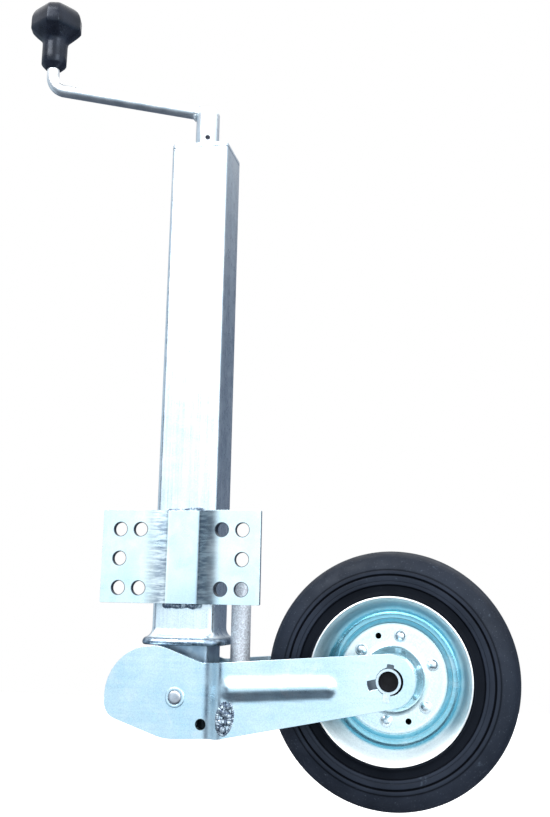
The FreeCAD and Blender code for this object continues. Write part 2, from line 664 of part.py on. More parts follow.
def fork_blank():
    """Side outline, bent outwards by one joggle, with its holes and its pressed rib."""
    body = new_body("fork_plate_blank")
    side = new_sketch(body, "XZ_Plane", "dims.fork_inside")
    end_x = "dims.axle_x + dims.arm_end_radius"
    outline(side, [("dims.lobe_left", "dims.lobe_corner_z", "dims.lobe_radius"),
                   ("dims.lobe_left", "dims.heel_z", "dims.heel_radius"),
                   ("dims.sole_left", "dims.sole_z", "40"),
                   ("dims.sole_right", "dims.sole_right_z", "40"),
                   (end_x, "dims.arm_bottom_z", "dims.arm_corner_radius"),
                   (end_x, "dims.arm_top_z", "dims.arm_corner_radius"),
                   ("dims.arm_valley_x", "dims.arm_valley_z", "14")])
    pad(body, side, "dims.joggle + dims.fork_thickness")
    inside, bend = "dims.fork_inside", "dims.joggle_start"
    outside = f"{inside} + dims.fork_thickness"
    shift = f"{bend} + 0.414 * dims.fork_thickness"
    front = new_sketch(body, "XY_Plane", str(CUT_HEIGHT / 2))
    outline(front, [("-100", f"-({outside})"), ("-100", "-100"),
                    (f"{bend} + dims.joggle", "-100"),
                    (f"{bend} + dims.joggle", f"-({outside} + dims.joggle)", "4"),
                    (bend, f"-({outside})", "10")])
    pocket(body, front, str(CUT_HEIGHT))
    back = new_sketch(body, "XY_Plane", str(CUT_HEIGHT / 2))
    outline(back, [(shift, f"-{inside}", "4"),
                   (f"{shift} + dims.joggle", f"-({inside} + dims.joggle)", "10"),
                   ("300", f"-({inside} + dims.joggle)"), ("300", "0"), (shift, "0")])
    pocket(body, back, str(CUT_HEIGHT))
    rib(body, "Revolution", "dims.rib_radius")
    rib(body, "Groove", "dims.rib_radius - dims.fork_thickness + 0.8")
    fork_holes(body)
    place(body, "pivot")
    return body


def rib(body, kind, radius):
    """Half a capsule, lying on the arm's inner face: added outside, hollowed inside."""
    turn = ("dims.rib_x", "dims.rib_z", "dims.rib_tilt")
    form = new_sketch(body, "XZ_Plane", "dims.fork_inside + dims.joggle", turn)
    long = "dims.rib_length"
    round_end = f"({radius}) * 0.98"
    outline(form, [(f"-({radius})", "0"), (f"{long} + {radius}", "0"),
                   (f"{long} + {radius}", radius, round_end), (f"-({radius})", radius, round_end)])
    revolve(body, form, "H_Axis", 180, kind, reverse=False)


def fork_holes(body):
    """Axle hole, pivot hole, drain hole and the crossbar's slot."""
    face = "dims.fork_inside + dims.fork_thickness + dims.joggle"
    drill = new_sketch(body, "XZ_Plane", face)
    circle(drill, "dims.axle_x + dims.axle_slack", "dims.axle_z", "dims.axle_hole_radius")
    circle(drill, "0", "0", "dims.pin_radius")
    circle(drill, "dims.drain_hole_x", "dims.drain_hole_z", "dims.drain_hole_radius")
    pocket(body, drill, "dims.joggle + dims.fork_thickness + 1")
    slot = crossbar_sketch(body, face)
    pocket(body, slot, "dims.joggle + dims.fork_thickness + 1")


def crossbar_sketch(body, height="0"):
    """The crossbar's round-ended section, its top leaning towards the wheel."""
    sketch = new_sketch(body, "XZ_Plane", height,
                        ("dims.crossbar_x", "dims.crossbar_z", "-dims.crossbar_tilt"))
    x, z = "dims.crossbar_width / 2", "dims.crossbar_height / 2"
    end = f"{x} - 0.5"
    outline(sketch, [(f"-({x})", f"-({z})", end), (x, f"-({z})", end), (x, z, end),
                     (f"-({x})", z, end)])
    return sketch


def fork_plates():
    blank = fork_blank()
    slots = doc.addObject("Part::MultiFuse", "axle_keyways")
    slots.Shapes = [key_bar("keyway", side) for side in KEYS]
    near = doc.addObject("Part::Cut", "fork_plate_near")
    near.Base = blank
    near.Tool = slots
    keep(near, "fork_plate_near")
    mirrored(near, "fork_plate_far")


def crossbar_and_stop():
    """Flat crossbar through both plates, and the round fold stop that stands on it."""
    bar = new_body("fork_crossbar")
    end = crossbar_sketch(bar)
    pad(bar, end, "2 * (dims.fork_inside + dims.joggle + dims.fork_thickness - 1)", both=True)
    keep(bar, "fork_crossbar", "pivot")
    stop = new_body("fold_stop_blank")
    foot = new_sketch(stop, "XY_Plane", "dims.crossbar_z")
    circle(foot, "dims.crossbar_x", "0", "dims.stop_radius")
    pad(stop, foot, "dims.stop_top - dims.crossbar_z")
    place(stop, "pivot")
    sleeve = doc.addObject("Part::Cut", "fold_stop")
    sleeve.Base = stop
    sleeve.Tool = bar
    keep(sleeve, "fold_stop")


def lens(x, y, z, radii):
    """A flattened ball, for a lump of weld."""
    matrix = FreeCAD.Matrix()
    matrix.scale(FreeCAD.Vector(*radii))
    ball = Part.makeSphere(1).transformGeometry(matrix)
    return ball.translated(FreeCAD.Vector(x, y, z))


def fork_welds():
    """Plug welds over the crossbar's ends, and the bead round the foot of the fold stop."""
    x, z = number("dims.crossbar_x"), number("dims.crossbar_z")
    face = number("dims.fork_inside + dims.joggle + dims.fork_thickness")
    radii = [number(f"dims.plug_weld_{side}") for side in ("half_width", "rise", "half_height")]
    lean = number("dims.crossbar_tilt")
    plugs = [lens(x, side * face, z, radii) for side in (-1, 1)]
    for plug in plugs:
        plug.rotate(FreeCAD.Vector(x, 0, z), FreeCAD.Vector(0, 1, 0), lean)
    group("crossbar_welds", plugs, "pivot")
    top = z + number("dims.crossbar_height") / 2
    bead = Part.makeTorus(number("dims.stop_radius"), number("dims.stop_weld_radius"),
                          FreeCAD.Vector(x, 0, top))
    group("fold_stop_weld", [bead], "pivot")


def pivot_pin():
    face = "(dims.fork_inside + dims.fork_thickness)"
    half = f"({face} + dims.pin_reach)"
    turned("pivot_pin", [("0", f"-{half}"), ("dims.pin_radius", f"-{half}", "1"),
                         ("dims.pin_radius", half, "1"), ("0", half)], "pivot", "XY_Plane")
    near = turned("pivot_ring_near",
                  ring_profile("dims.pin_radius", "dims.pin_ring_radius",
                               f"-{face} - dims.pin_ring_height", f"-{face}"),
                  "pivot", "XY_Plane")
    mirrored(near, "pivot_ring_far")


def axle():
    """Hollow axle with plugged ends, its keys in the near plate, and the hub's spacers."""
    half = "(dims.fork_inside + dims.joggle + dims.fork_thickness + dims.axle_reach)"
    turned("axle_tube", ring_profile("dims.axle_bore", "dims.axle_radius", f"-{half}", half),
           "axle", "XY_Plane")
    core = doc.addObject("Part::Cylinder", "axle_key_bore")
    bind(core, Radius="dims.axle_radius", Height="4 * dims.tube_size")
    core.Placement = FreeCAD.Placement(FreeCAD.Vector(
        number("dims.axle_x"), -number("2 * dims.tube_size"),
        number("dims.axle_z - dims.pivot_drop")), DEPTH_VIEW)
    for side in KEYS:
        bar = key_bar("key_bar", side, "-dims.key_rise" if side == "lower" else "dims.key_recess")
        key = doc.addObject("Part::Cut", f"axle_key_{side}")
        key.Base = bar
        key.Tool = core
        keep(key, f"axle_key_{side}")
    outer = f"-({half} - dims.axle_plug_depth)"
    inner = f"-({half} - dims.axle_plug_depth - dims.axle_plug_thickness)"
    plug = turned("axle_plug_near", [("0", outer), ("dims.axle_bore", outer, "0.8"),
                                     ("dims.axle_bore", inner), ("0", inner)],
                  "axle", "XY_Plane")
    mirrored(plug, "axle_plug_far")
    inside = "(dims.fork_inside + dims.joggle)"
    near = turned("axle_spacer_near",
                  ring_profile("dims.axle_radius", "dims.spacer_radius", f"-{inside}",
                               f"-({inside} - dims.spacer_thickness)"), "axle", "XY_Plane")
    mirrored(near, "axle_spacer_far")


# ---------------------------------------------------------------- wheel

def tyre():
    """Solid rubber tyre: its inside follows the two rim halves, its sides are stepped."""
    side, crown = "dims.tyre_half_width", "dims.tyre_radius"
    body = new_body("tyre")
    profile = new_sketch(body, "XY_Plane")
    half = [("62.6", "0"), ("67.1", "7.2"), ("69.8", "17.6"), ("72.3", "31.5"),
            ("74.6", "36.6"), ("75.2", f"{side} - 2.6"), ("83.7", f"{side} - 3"),
            ("84.6", side), ("92", side), ("92.6", f"{side} - 1.2"), ("96.8", f"{side} - 1"),
            (f"{crown} - 9", f"{side} - 4", "12"), (crown, f"{side} - 20", "14")]
    near = [(r, f"-({y})", *more) for r, y, *more in reversed(half[1:])]
    outline(profile, half + near)
    revolve(body, profile)
    return keep(body, "tyre", "axle")


def bolt_circle(body, radius, drill, start, count):
    """Holes through a wheel disc, parallel to the axle."""
    sketch = new_sketch(body, "XZ_Plane")
    angle = math.radians(number(start))
    circle(sketch, f"{radius} * {math.cos(angle):.6f}", f"{radius} * {math.sin(angle):.6f}", drill)
    first = pocket(body, sketch, "30", both=True)
    return polar(body, first, sketch, count)


def disc_holes(body, vents):
    bolt_circle(body, "dims.rivet_circle", "dims.rivet_radius", "dims.rivet_turn",
                "dims.rivet_count")
    bolt_circle(body, "dims.vent_circle", "dims.vent_radius", vents, "2")


def rim_half(name, vents):
    """Pressed rim half: neck on the hub, raised disc, valley, conical wall and lip."""
    body = new_body(name)
    profile = new_sketch(body, "XY_Plane")
    thick, disc, hub = "dims.rim_sheet", "dims.flange_half", "dims.hub_radius"
    edge, side = "dims.rim_edge_radius", "dims.tyre_half_width"
    outside = [(f"{hub} + 2.6", f"-({side} - 3)", "1.5"), (f"{hub} + 4.4", f"-({disc} + {thick})", "9"),
               ("50", f"-({disc} + {thick})", "3"), ("54.5", f"-{thick}", "3"),
               ("60", f"-{thick}", "6"), ("67.2", "-17.5", "20"), ("69.7", "-31.5", "6"),
               (f"{edge} - 0.8", f"-({side})", "0.6")]
    inside = [(f"{edge} + 1.2", f"-({side} - 1.6)", "0.6"), ("72.2", "-31.6", "6"),
              ("69.7", "-17.5", "20"), ("67", "-7.2"), ("62.5", "0"), ("53.5", "0"),
              ("49", f"-{disc}"), (f"{hub}", f"-{disc}"), (f"{hub}", f"-({side} - 3)")]
    outline(profile, outside + inside)
    revolve(body, profile)
    disc_holes(body, vents)
    return body


def rim_halves():
    """Two halves alike, but for the vents: those of the far half are one rivet on."""
    keep(rim_half("rim_near", "dims.vent_turn + 60"), "rim_near", "axle")
    other = rim_half("rim_far_blank", "dims.vent_turn")
    place(other, "axle")
    mirrored(other, "rim_far")


def hub():
    body = new_body("hub_tube")
    profile = new_sketch(body, "XY_Plane")
    bore, outer, half = "dims.hub_bore", "dims.hub_radius", "dims.hub_half_length"
    flange, disc = "dims.flange_radius", "dims.flange_half"
    outline(profile, [(bore, f"-{half}"), (outer, f"-{half}"), (outer, f"-{disc}"),
                      (flange, f"-{disc}"), (flange, disc), (outer, disc), (outer, half),
                      (bore, half)])
    revolve(body, profile)
    disc_holes(body, "dims.vent_turn + 60")
    return keep(body, "hub_tube", "axle")


def rim_rivets():
    """Six round-headed rivets through both rim halves and the hub's flange."""
    shank, head = number("dims.rivet_radius"), number("dims.rivet_head")
    face = number("dims.flange_half + dims.rim_sheet")
    tall = number("dims.rivet_head_height")
    ball = (head * head + tall * tall) / (2 * tall)
    count = int(number("dims.rivet_count"))
    along = FreeCAD.Vector(0, 1, 0)
    rivets = []
    for turn in range(count):
        angle = math.radians(number("dims.rivet_turn")) + math.tau * turn / count
        centre = FreeCAD.Vector(math.cos(angle), 0, math.sin(angle)) * number("dims.rivet_circle")
        rivet = Part.makeCylinder(shank, 2 * face, centre - along * face, along)
        for side in (-1, 1):
            dome = Part.makeSphere(ball, centre + along * side * (face + tall - ball))
            start = centre + along * side * face
            slab = Part.makeCylinder(head, tall + 1, start, along * side)
            rivet = rivet.fuse(dome.common(slab))
        rivets.append(rivet.removeSplitter())
    return group("rim_rivets", rivets, "axle")


def bearings():
    """Caged roller bearing and dust seal at each end of the hub."""
    count = int(number("dims.roller_count"))
    start, length = number("dims.roller_start"), number("dims.roller_length")
    for side, label in ((-1, "near"), (1, "far")):
        along = FreeCAD.Vector(0, side, 0)
        rollers = []
        for turn in range(count):
            angle = math.tau * turn / count
            centre = FreeCAD.Vector(math.cos(angle), 0, math.sin(angle))
            foot = centre * number("dims.roller_circle") + along * start
            rollers.append(Part.makeCylinder(number("dims.roller_radius"), length, foot, along))
        group(f"rollers_{label}", rollers, "axle")
    cage = new_body("roller_cage_near")
    band = new_sketch(cage, "XY_Plane")
    outline(band, ring_profile("dims.roller_circle - 1.3", "dims.roller_circle + 1.3",
                               "-(dims.roller_start + dims.roller_length + 1)",
                               "-(dims.roller_start - 1)"))
    revolve(cage, band)
    slot = new_sketch(cage, "XZ_Plane", "dims.roller_start + dims.roller_length")
    circle(slot, "dims.roller_circle", "0", "dims.roller_radius")
    first = pocket(cage, slot, "dims.roller_length")
    polar(cage, first, slot, "dims.roller_count")
    near = keep(cage, "roller_cage_near", "axle")
    mirrored(near, "roller_cage_far")
    half = "dims.hub_half_length"
    seal = turned("hub_seal_near",
                  ring_profile("dims.axle_radius + 0.3", "dims.hub_bore", f"-{half}",
                               f"-({half} - dims.seal_thickness)"), "axle", "XY_Plane")
    mirrored(seal, "hub_seal_far")


# ---------------------------------------------------------------- build, test and write

def build():
    mounting_plate()
    plate_welds()
    outer_tube()
    bell_mouth()
    top_cap()
    sliding_guides()
    top_bush()
    thrust_bearing()
    spindle()
    spindle_nut()
    inner_tube()
    pivot_bush()
    rod = crank_rod()
    crank_socket(rod)
    crank_weld()
    roll_pin()
    knob()
    knob_details()
    fork_plates()
    crossbar_and_stop()
    fork_welds()
    pivot_pin()
    axle()
    tyre()
    rim_halves()
    hub()
    rim_rivets()
    bearings()
    doc.recompute()


def check():
    """Stop before anything is written if any object failed."""
    faults = [item.Name for item in doc.Objects
              if "Invalid" in item.State or "Error" in item.State]
    for item in subparts:
        if item.Shape.isNull() or not item.Shape.isValid() or item.Shape.Volume <= 0:
            faults.append(item.Label)
    if faults:
        raise SystemExit("not built: " + ", ".join(faults))


def write():
    os.makedirs("parts", exist_ok=True)
    for item in subparts:
        item.Shape.exportStep(f"parts/{item.Label}.step")
        box = item.Shape.BoundBox
        print(f"{item.Label}: {len(item.Shape.Solids)} solid(s), {item.Shape.Volume / 1000:.1f} cm3,"
              f" x {box.XMin:.1f} {box.XMax:.1f} y {box.YMin:.1f} {box.YMax:.1f}"
              f" z {box.ZMin:.1f} {box.ZMax:.1f}")


build()
check()
write()
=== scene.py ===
import json
import math
import random

import bmesh
import bpy
from mathutils import Matrix, Vector, geometry, noise


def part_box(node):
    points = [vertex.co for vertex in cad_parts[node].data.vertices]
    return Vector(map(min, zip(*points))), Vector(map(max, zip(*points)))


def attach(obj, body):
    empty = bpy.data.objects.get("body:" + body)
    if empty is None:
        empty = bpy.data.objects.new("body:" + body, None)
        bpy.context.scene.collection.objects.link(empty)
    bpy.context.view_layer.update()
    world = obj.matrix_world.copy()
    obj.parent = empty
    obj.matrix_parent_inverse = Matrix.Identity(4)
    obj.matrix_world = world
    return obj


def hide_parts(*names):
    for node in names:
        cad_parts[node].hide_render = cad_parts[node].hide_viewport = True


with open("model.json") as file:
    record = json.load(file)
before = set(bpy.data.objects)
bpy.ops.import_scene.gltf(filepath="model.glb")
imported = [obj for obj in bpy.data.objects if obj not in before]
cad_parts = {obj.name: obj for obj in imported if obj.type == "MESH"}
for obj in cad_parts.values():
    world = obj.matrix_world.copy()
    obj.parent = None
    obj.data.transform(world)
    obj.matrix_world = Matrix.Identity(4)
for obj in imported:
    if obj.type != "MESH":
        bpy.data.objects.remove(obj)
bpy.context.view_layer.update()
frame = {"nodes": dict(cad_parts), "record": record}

# Trailer jack wheel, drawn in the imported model's own frame: +X towards the folded-up
# wheel, +Y from the mounting plate into the square tube, +Z up. Lengths are in metres;
# MM turns the millimetres of the drawings below into metres.
MM = 0.001
RECORD = frame["record"]
SLOT_OF = {part["node"]: part["material_slot"] for part in RECORD["subparts"]}
BODY_OF = {node: body for body, nodes in RECORD["behaviour"]["bodies"].items() for node in nodes}
JOINTS = {joint["name"]: joint for joint in RECORD["behaviour"]["joints"]}
PIVOT = Vector(JOINTS["fork_fold"]["pos_m"])
AXLE = Vector(JOINTS["wheel_spin"]["pos_m"])
GRIP = Vector(JOINTS["knob_spin"]["pos_m"])

TYRE_RADIUS = 115 * MM
# The drain hole in each fork plate, right and up from the pivot.
DRAIN = Vector((25.1, -22.8)) * MM
DRAIN_RADIUS = 4.7 * MM
# The crank rod's straight arm, from its root in the socket to its bend under the knob.
ROD_ROOT = Vector((-3 * MM, GRIP.y, PIVOT.z + 600.7 * MM))
ROD_CORNER = Vector((GRIP.x, GRIP.y, PIVOT.z + 645.5 * MM))

# The photograph's viewpoint in this frame: place in metres, turn in degrees, lens in mm.
CAMERA_PLACE = (0.2862, -0.9801, -0.0369)
CAMERA_TURN = (102.544, -1.130, 11.262)
CAMERA_LENS = 46.70
CAMERA_SHIFT = (0.0019, -0.0534)


# ---------------------------------------------------------------- material helpers

class Tree:
    """A node tree, with short calls for adding and joining its nodes."""

    def __init__(self, tree):
        self.tree = tree

    def node(self, kind, **settings):
        made = self.tree.nodes.new(kind)
        for key, value in settings.items():
            setattr(made, key, value)
        return made

    def link(self, source, socket):
        self.tree.links.new(source, socket)

    def feed(self, socket, value):
        """Link a texture to a socket, or set the socket's own number or colour."""
        if isinstance(value, bpy.types.NodeSocket):
            self.link(value, socket)
        elif isinstance(value, tuple) and len(value) == 3:
            socket.default_value = (*value, 1)
        else:
            socket.default_value = value

    def mix(self, factor, first, second, blend="MIX"):
        made = self.node("ShaderNodeMix", data_type="RGBA", blend_type=blend)
        for index, value in ((0, factor), (6, first), (7, second)):
            self.feed(made.inputs[index], value)
        return made.outputs[2]


class Shader(Tree):
    """The node tree round one Principled shader."""

    def __init__(self, name):
        self.material = bpy.data.materials.new(name)
        self.material.use_nodes = True
        super().__init__(self.material.node_tree)
        self.surface = self.tree.nodes["Principled BSDF"]
        self.place = self.node("ShaderNodeTexCoord").outputs["Object"]

    def put(self, name, value):
        self.feed(self.surface.inputs[name], value)

    def stretched(self, scale):
        mapping = self.node("ShaderNodeMapping")
        mapping.inputs["Scale"].default_value = scale
        self.link(self.place, mapping.inputs["Vector"])
        return mapping.outputs["Vector"]

    def noise(self, scale, detail=3.0, rough=0.55, warp=0.0, stretch=None):
        made = self.node("ShaderNodeTexNoise")
        made.inputs["Scale"].default_value = scale
        made.inputs["Detail"].default_value = detail
        made.inputs["Roughness"].default_value = rough
        made.inputs["Distortion"].default_value = warp
        self.link(self.stretched(stretch) if stretch else self.place, made.inputs["Vector"])
        return made.outputs["Fac"]

    def cells(self, scale, stretch=None):
        made = self.node("ShaderNodeTexVoronoi")
        made.inputs["Scale"].default_value = scale
        self.link(self.stretched(stretch) if stretch else self.place, made.inputs["Vector"])
        grey = self.node("ShaderNodeRGBToBW")
        self.link(made.outputs["Color"], grey.inputs["Color"])
        return grey.outputs["Val"]

    def span(self, value, low, high, start=0.3, stop=0.7):
        """A texture's value from start to stop, turned into low to high."""
        made = self.node("ShaderNodeMapRange", interpolation_type="SMOOTHSTEP")
        for socket, number in (("From Min", start), ("From Max", stop),
                               ("To Min", low), ("To Max", high)):
            made.inputs[socket].default_value = number
        self.link(value, made.inputs["Value"])
        return made.outputs["Result"]

    def math(self, operation, first, second):
        made = self.node("ShaderNodeMath", operation=operation)
        for socket, value in zip(made.inputs, (first, second)):
            self.feed(socket, value)
        return made.outputs["Value"]

    def axes(self):
        """The place's own x, y and z."""
        made = self.node("ShaderNodeSeparateXYZ")
        self.link(self.place, made.inputs["Vector"])
        return [made.outputs[axis] for axis in "XYZ"]

    def radius(self, centre):
        """Distance from an axis along Y through the centre."""
        offset = self.node("ShaderNodeVectorMath", operation="SUBTRACT")
        self.link(self.place, offset.inputs[0])
        offset.inputs[1].default_value = centre
        flat = self.node("ShaderNodeVectorMath", operation="MULTIPLY")
        self.link(offset.outputs["Vector"], flat.inputs[0])
        flat.inputs[1].default_value = (1, 0, 1)
        long = self.node("ShaderNodeVectorMath", operation="LENGTH")
        self.link(flat.outputs["Vector"], long.inputs[0])
        return long.outputs["Value"]

    def bands(self, value, limit, stops):
        """Colours by distance: each stop is (millimetres, colour), up to the limit."""
        made = self.node("ShaderNodeValToRGB")
        points = made.color_ramp.elements
        while len(points) < len(stops):
            points.new(0.5)
        for point, (place, colour) in zip(points, stops):
            point.position = place / limit
            point.color = (*colour, 1)
        self.link(self.math("DIVIDE", value, limit * MM), made.inputs["Fac"])
        return made.outputs["Color"]

    def shade(self, colour, value):
        """Multiply a colour by a grey texture."""
        return self.mix(1.0, colour, value, "MULTIPLY")

    def bump(self, height, distance, strength=1.0, before=None):
        made = self.node("ShaderNodeBump")
        made.inputs["Distance"].default_value = distance
        made.inputs["Strength"].default_value = strength
        self.link(height, made.inputs["Height"])
        if before is not None:
            self.link(before, made.inputs["Normal"])
        return made.outputs["Normal"]


def zinc(name, pale, deep, rough=(0.26, 0.40), patch=22, streaks=None, streak=0.10,
         spangle=0.10, mottle=None, hole_shade=None):
    """Blue-passivated zinc: cloudy tint, fine grain, and, where asked for, streaks, a
    mottle and a dark ring of painted shade round one punched hole, for the shade in its wall."""
    s = Shader(name)
    clouds = s.noise(patch, detail=5, warp=0.4)
    colour = s.mix(s.span(clouds, 0, 1, 0.35, 0.65), deep, pale)
    if mottle:
        tint, size, low, high = mottle
        blotches = s.noise(size, detail=6, rough=0.62, warp=0.9)
        colour = s.mix(s.span(blotches, 0, 0.85, low, high), colour, tint)
    grain = s.cells(1100)
    colour = s.shade(colour, s.span(grain, 1 - spangle, 1 + spangle * 0.5, 0, 1))
    if hole_shade:
        centre, size = hole_shade
        # Painted shade: a dark ring just outside the hole's edge, standing in for the shade in the
        # hole's wall.
        ring = s.span(s.radius(centre), 0.95, 0, size + 0.0001, size + 0.0007)
        colour = s.mix(ring, colour, (0.02, 0.025, 0.03))
    level = s.span(s.noise(70, detail=4), rough[0], rough[1])
    height = s.noise(900, detail=2)
    if streaks:
        lines = s.noise(1.0, detail=5, rough=0.7, stretch=streaks)
        colour = s.shade(colour, s.span(lines, 1 - streak, 1 + streak * 0.4, 0.3, 0.7))
        level = s.math("ADD", level, s.span(lines, -0.05, 0.06, 0.3, 0.7))
    s.put("Base Color", colour)
    s.put("Metallic", 1.0)
    s.put("Roughness", level)
    s.put("Normal", s.bump(height, 0.00006, 0.35))
    return s.material


def stop_zinc(name):
    """Dull plated bar: grey, grainy and speckled."""
    s = Shader(name)
    grain = s.noise(650, detail=5, rough=0.75)
    colour = s.mix(s.span(grain, 0, 1, 0.38, 0.62), (0.44, 0.46, 0.52), (0.74, 0.80, 0.86))
    s.put("Base Color", colour)
    s.put("Metallic", 0.55)
    s.put("Roughness", s.span(s.noise(90), 0.50, 0.66))
    s.put("Normal", s.bump(grain, 0.0002, 0.6))
    return s.material


def plate_zinc(name):
    """Plate with pale wings. Painted shade on it: the trough's slopes dark and streaked, the
    lower part of its flat darker and bluer, and a dark ring round each of the ten holes."""
    s = Shader(name)
    across, _, up = s.axes()
    side = s.math("ABSOLUTE", across, 0)
    level = s.math("ABSOLUTE", up, 0)
    clouds = s.noise(38, detail=5, warp=0.5)
    colour = s.mix(s.span(clouds, 0, 1, 0.35, 0.65), (0.74, 0.90, 0.95), (0.86, 0.96, 0.98))
    # Painted shade: the trough's slopes darkened and broken into streaks, standing in for their dark
    # reflections.
    slope = s.math("MULTIPLY", s.span(side, 0, 1, 0.0148, 0.0162),
                   s.span(side, 1, 0, 0.020, 0.041))
    slope_shade_streaks = s.noise(1.0, detail=5, rough=0.62, warp=0.3, stretch=(60, 60, 420))
    colour = s.mix(s.math("MULTIPLY", slope, s.span(slope_shade_streaks, 0.50, 0.90, 0.36, 0.62)), colour,
                   (0.075, 0.11, 0.165))
    # Painted shade: the flat darker and bluer towards its lower edge.
    flat = s.span(side, 1, 0, 0.0148, 0.0162)
    low = s.span(up, 1, 0, -0.042, 0.0)
    colour = s.mix(s.math("MULTIPLY", flat, s.math("MULTIPLY", low, 0.45)), colour,
                   (0.46, 0.66, 0.80))
    # Painted shade: a dark ring round each of the ten holes, for the shade in their walls.
    nearest = None
    for place, row in ((0.060, 0.0275), (0.060, 0.0), (0.040, 0.0275)):
        away = s.math("POWER", s.math("SUBTRACT", side, place), 2)
        off = s.math("POWER", s.math("SUBTRACT", level, row), 2)
        distance = s.math("SQRT", s.math("ADD", away, off), 0)
        nearest = distance if nearest is None else s.math("MINIMUM", nearest, distance)
    colour = s.mix(s.span(nearest, 0.94, 0, 0.0068, 0.0074), colour, (0.04, 0.05, 0.07))
    colour = s.shade(colour, s.span(s.cells(1100), 0.94, 1.03, 0, 1))
    s.put("Base Color", colour)
    s.put("Metallic", 1.0)
    s.put("Roughness", s.span(s.noise(60, detail=4), 0.26, 0.38))
    s.put("Normal", s.bump(s.noise(900, detail=2), 0.00006, 0.35))
    return s.material


def rim_zinc(name):
    """Sheet rim, its colours painted by radius: pale disc, teal valley, grey wall, with painted
    highlights at the raised edges and painted shade in the valley and the wall. The lower wall is
    whitened as a painted reflection, and the vents' insides are painted black as shade."""
    s = Shader(name)
    reach = s.radius(AXLE)
    # Painted light by radius: the bright rings at 33, 47.5 and 63 mm are painted highlights on the
    # raised edges; the teal valley is deepened and the wall's band from 65.5 to 68.5 mm darkened as
    # painted shade.
    colour = s.bands(reach, 80, (
        (20, (0.50, 0.74, 0.84)), (29, (0.56, 0.80, 0.88)), (33, (0.86, 0.95, 0.97)),
        (44, (0.80, 0.93, 0.95)), (47.5, (0.92, 0.97, 0.98)), (50, (0.30, 0.60, 0.71)),
        (56, (0.26, 0.56, 0.68)), (61, (0.38, 0.66, 0.75)), (63, (0.78, 0.88, 0.91)),
        (65.5, (0.34, 0.42, 0.47)), (68.5, (0.50, 0.55, 0.58)), (71, (0.86, 0.88, 0.89))))
    _, along, up = s.axes()
    below = s.math("SUBTRACT", up, AXLE.z)
    # Painted reflection: the lower part of the wall whitened and made less metallic.
    lower_wall_reflection = s.math("MULTIPLY", s.span(reach, 0, 1, 0.0615, 0.064),
                      s.span(below, 0.95, 0, -0.056, -0.030))
    colour = s.mix(lower_wall_reflection, colour, (0.95, 0.96, 0.96))
    cloud = s.noise(30, detail=5, warp=0.5)
    colour = s.mix(s.span(cloud, 0, 0.35, 0.45, 0.7), colour, (0.93, 0.97, 0.97))
    colour = s.shade(colour, s.span(s.cells(900), 0.90, 1.04, 0, 1))
    rings = s.node("ShaderNodeTexNoise", noise_dimensions="1D")
    rings.inputs["Scale"].default_value = 900
    s.link(reach, rings.inputs["W"])
    # Painted shade: black on every surface within about 5 mm of the wheel's middle plane and inside
    # 48 mm, so the vents look dark inside.
    depth = s.math("ABSOLUTE", s.math("SUBTRACT", along, AXLE.y), 0)
    vent_shade = s.math("MULTIPLY", s.span(depth, 1, 0, 0.0050, 0.0062),
                    s.span(reach, 1, 0, 0.048, 0.0492))
    colour = s.mix(vent_shade, colour, (0.004, 0.004, 0.005))
    s.put("Base Color", colour)
    s.put("Metallic", s.math("SUBTRACT", 1.0, s.math("MULTIPLY", lower_wall_reflection, 0.8)))
    wall = s.span(reach, 0, 0.20, 0.061, 0.065)
    s.put("Roughness", s.math("ADD", s.span(cloud, 0.20, 0.30), wall))
    s.put("Normal", s.bump(rings.outputs["Fac"], 0.00003, 0.5))
    return s.material


def collar_zinc(name):
    """Flared mouth: bright and grainy, its lip painted darker as shade."""
    s = Shader(name)
    _, _, up = s.axes()
    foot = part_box("bell_mouth")[0].z
    grain = s.noise(260, detail=5, rough=0.7, warp=0.5)
    colour = s.mix(s.span(grain, 0, 1, 0.38, 0.60), (0.62, 0.74, 0.84), (0.86, 0.93, 0.96))
    # Painted shade: the lip is darker than the flare.
    lip_shade = s.mix(s.span(grain, 0, 1, 0.40, 0.62), (0.16, 0.22, 0.29), (0.34, 0.43, 0.52))
    colour = s.mix(s.span(up, 1, 0, foot + 0.0055, foot + 0.0085), colour, lip_shade)
    s.put("Base Color", colour)
    s.put("Metallic", 1.0)
    s.put("Roughness", s.span(s.noise(120), 0.26, 0.40))
    s.put("Normal", s.bump(grain, 0.0002, 0.35))
    return s.material


def inner_zinc(name):
    """Inner tube: zinc darkened as painted shade, and painted black below the pivot as shade so the
    drain hole looks dark.
    """
    s = Shader(name)
    _, _, up = s.axes()
    film = s.noise(40, detail=5, warp=0.4)
    # Painted shade: these colours are darker than the other zinc.
    colour = s.mix(s.span(film, 0, 1, 0.35, 0.65), (0.24, 0.33, 0.43), (0.44, 0.56, 0.66))
    # Painted shade: black below the pivot.
    foot = s.span(up, 0.97, 0, PIVOT.z - 0.010, PIVOT.z + 0.004)
    s.put("Base Color", s.mix(foot, colour, (0.008, 0.009, 0.011)))
    s.put("Metallic", 0.9)
    s.put("Roughness", s.span(film, 0.30, 0.44))
    s.put("Normal", s.bump(s.noise(700, detail=2), 0.00006, 0.35))
    return s.material


def steel(name, pale, deep, rough=(0.30, 0.42), streaks=None):
    """Machined steel or bronze with fine lines along it."""
    s = Shader(name)
    colour = s.mix(s.span(s.noise(45, detail=5, warp=0.5), 0, 1), deep, pale)
    lines = s.noise(1.0, detail=4, rough=0.7, stretch=streaks or (300, 300, 2500))
    colour = s.shade(colour, s.span(lines, 0.88, 1.04))
    s.put("Base Color", colour)
    s.put("Metallic", 1.0)
    s.put("Roughness", s.span(s.noise(120), rough[0], rough[1]))
    s.put("Normal", s.bump(lines, 0.00004, 0.4))
    return s.material


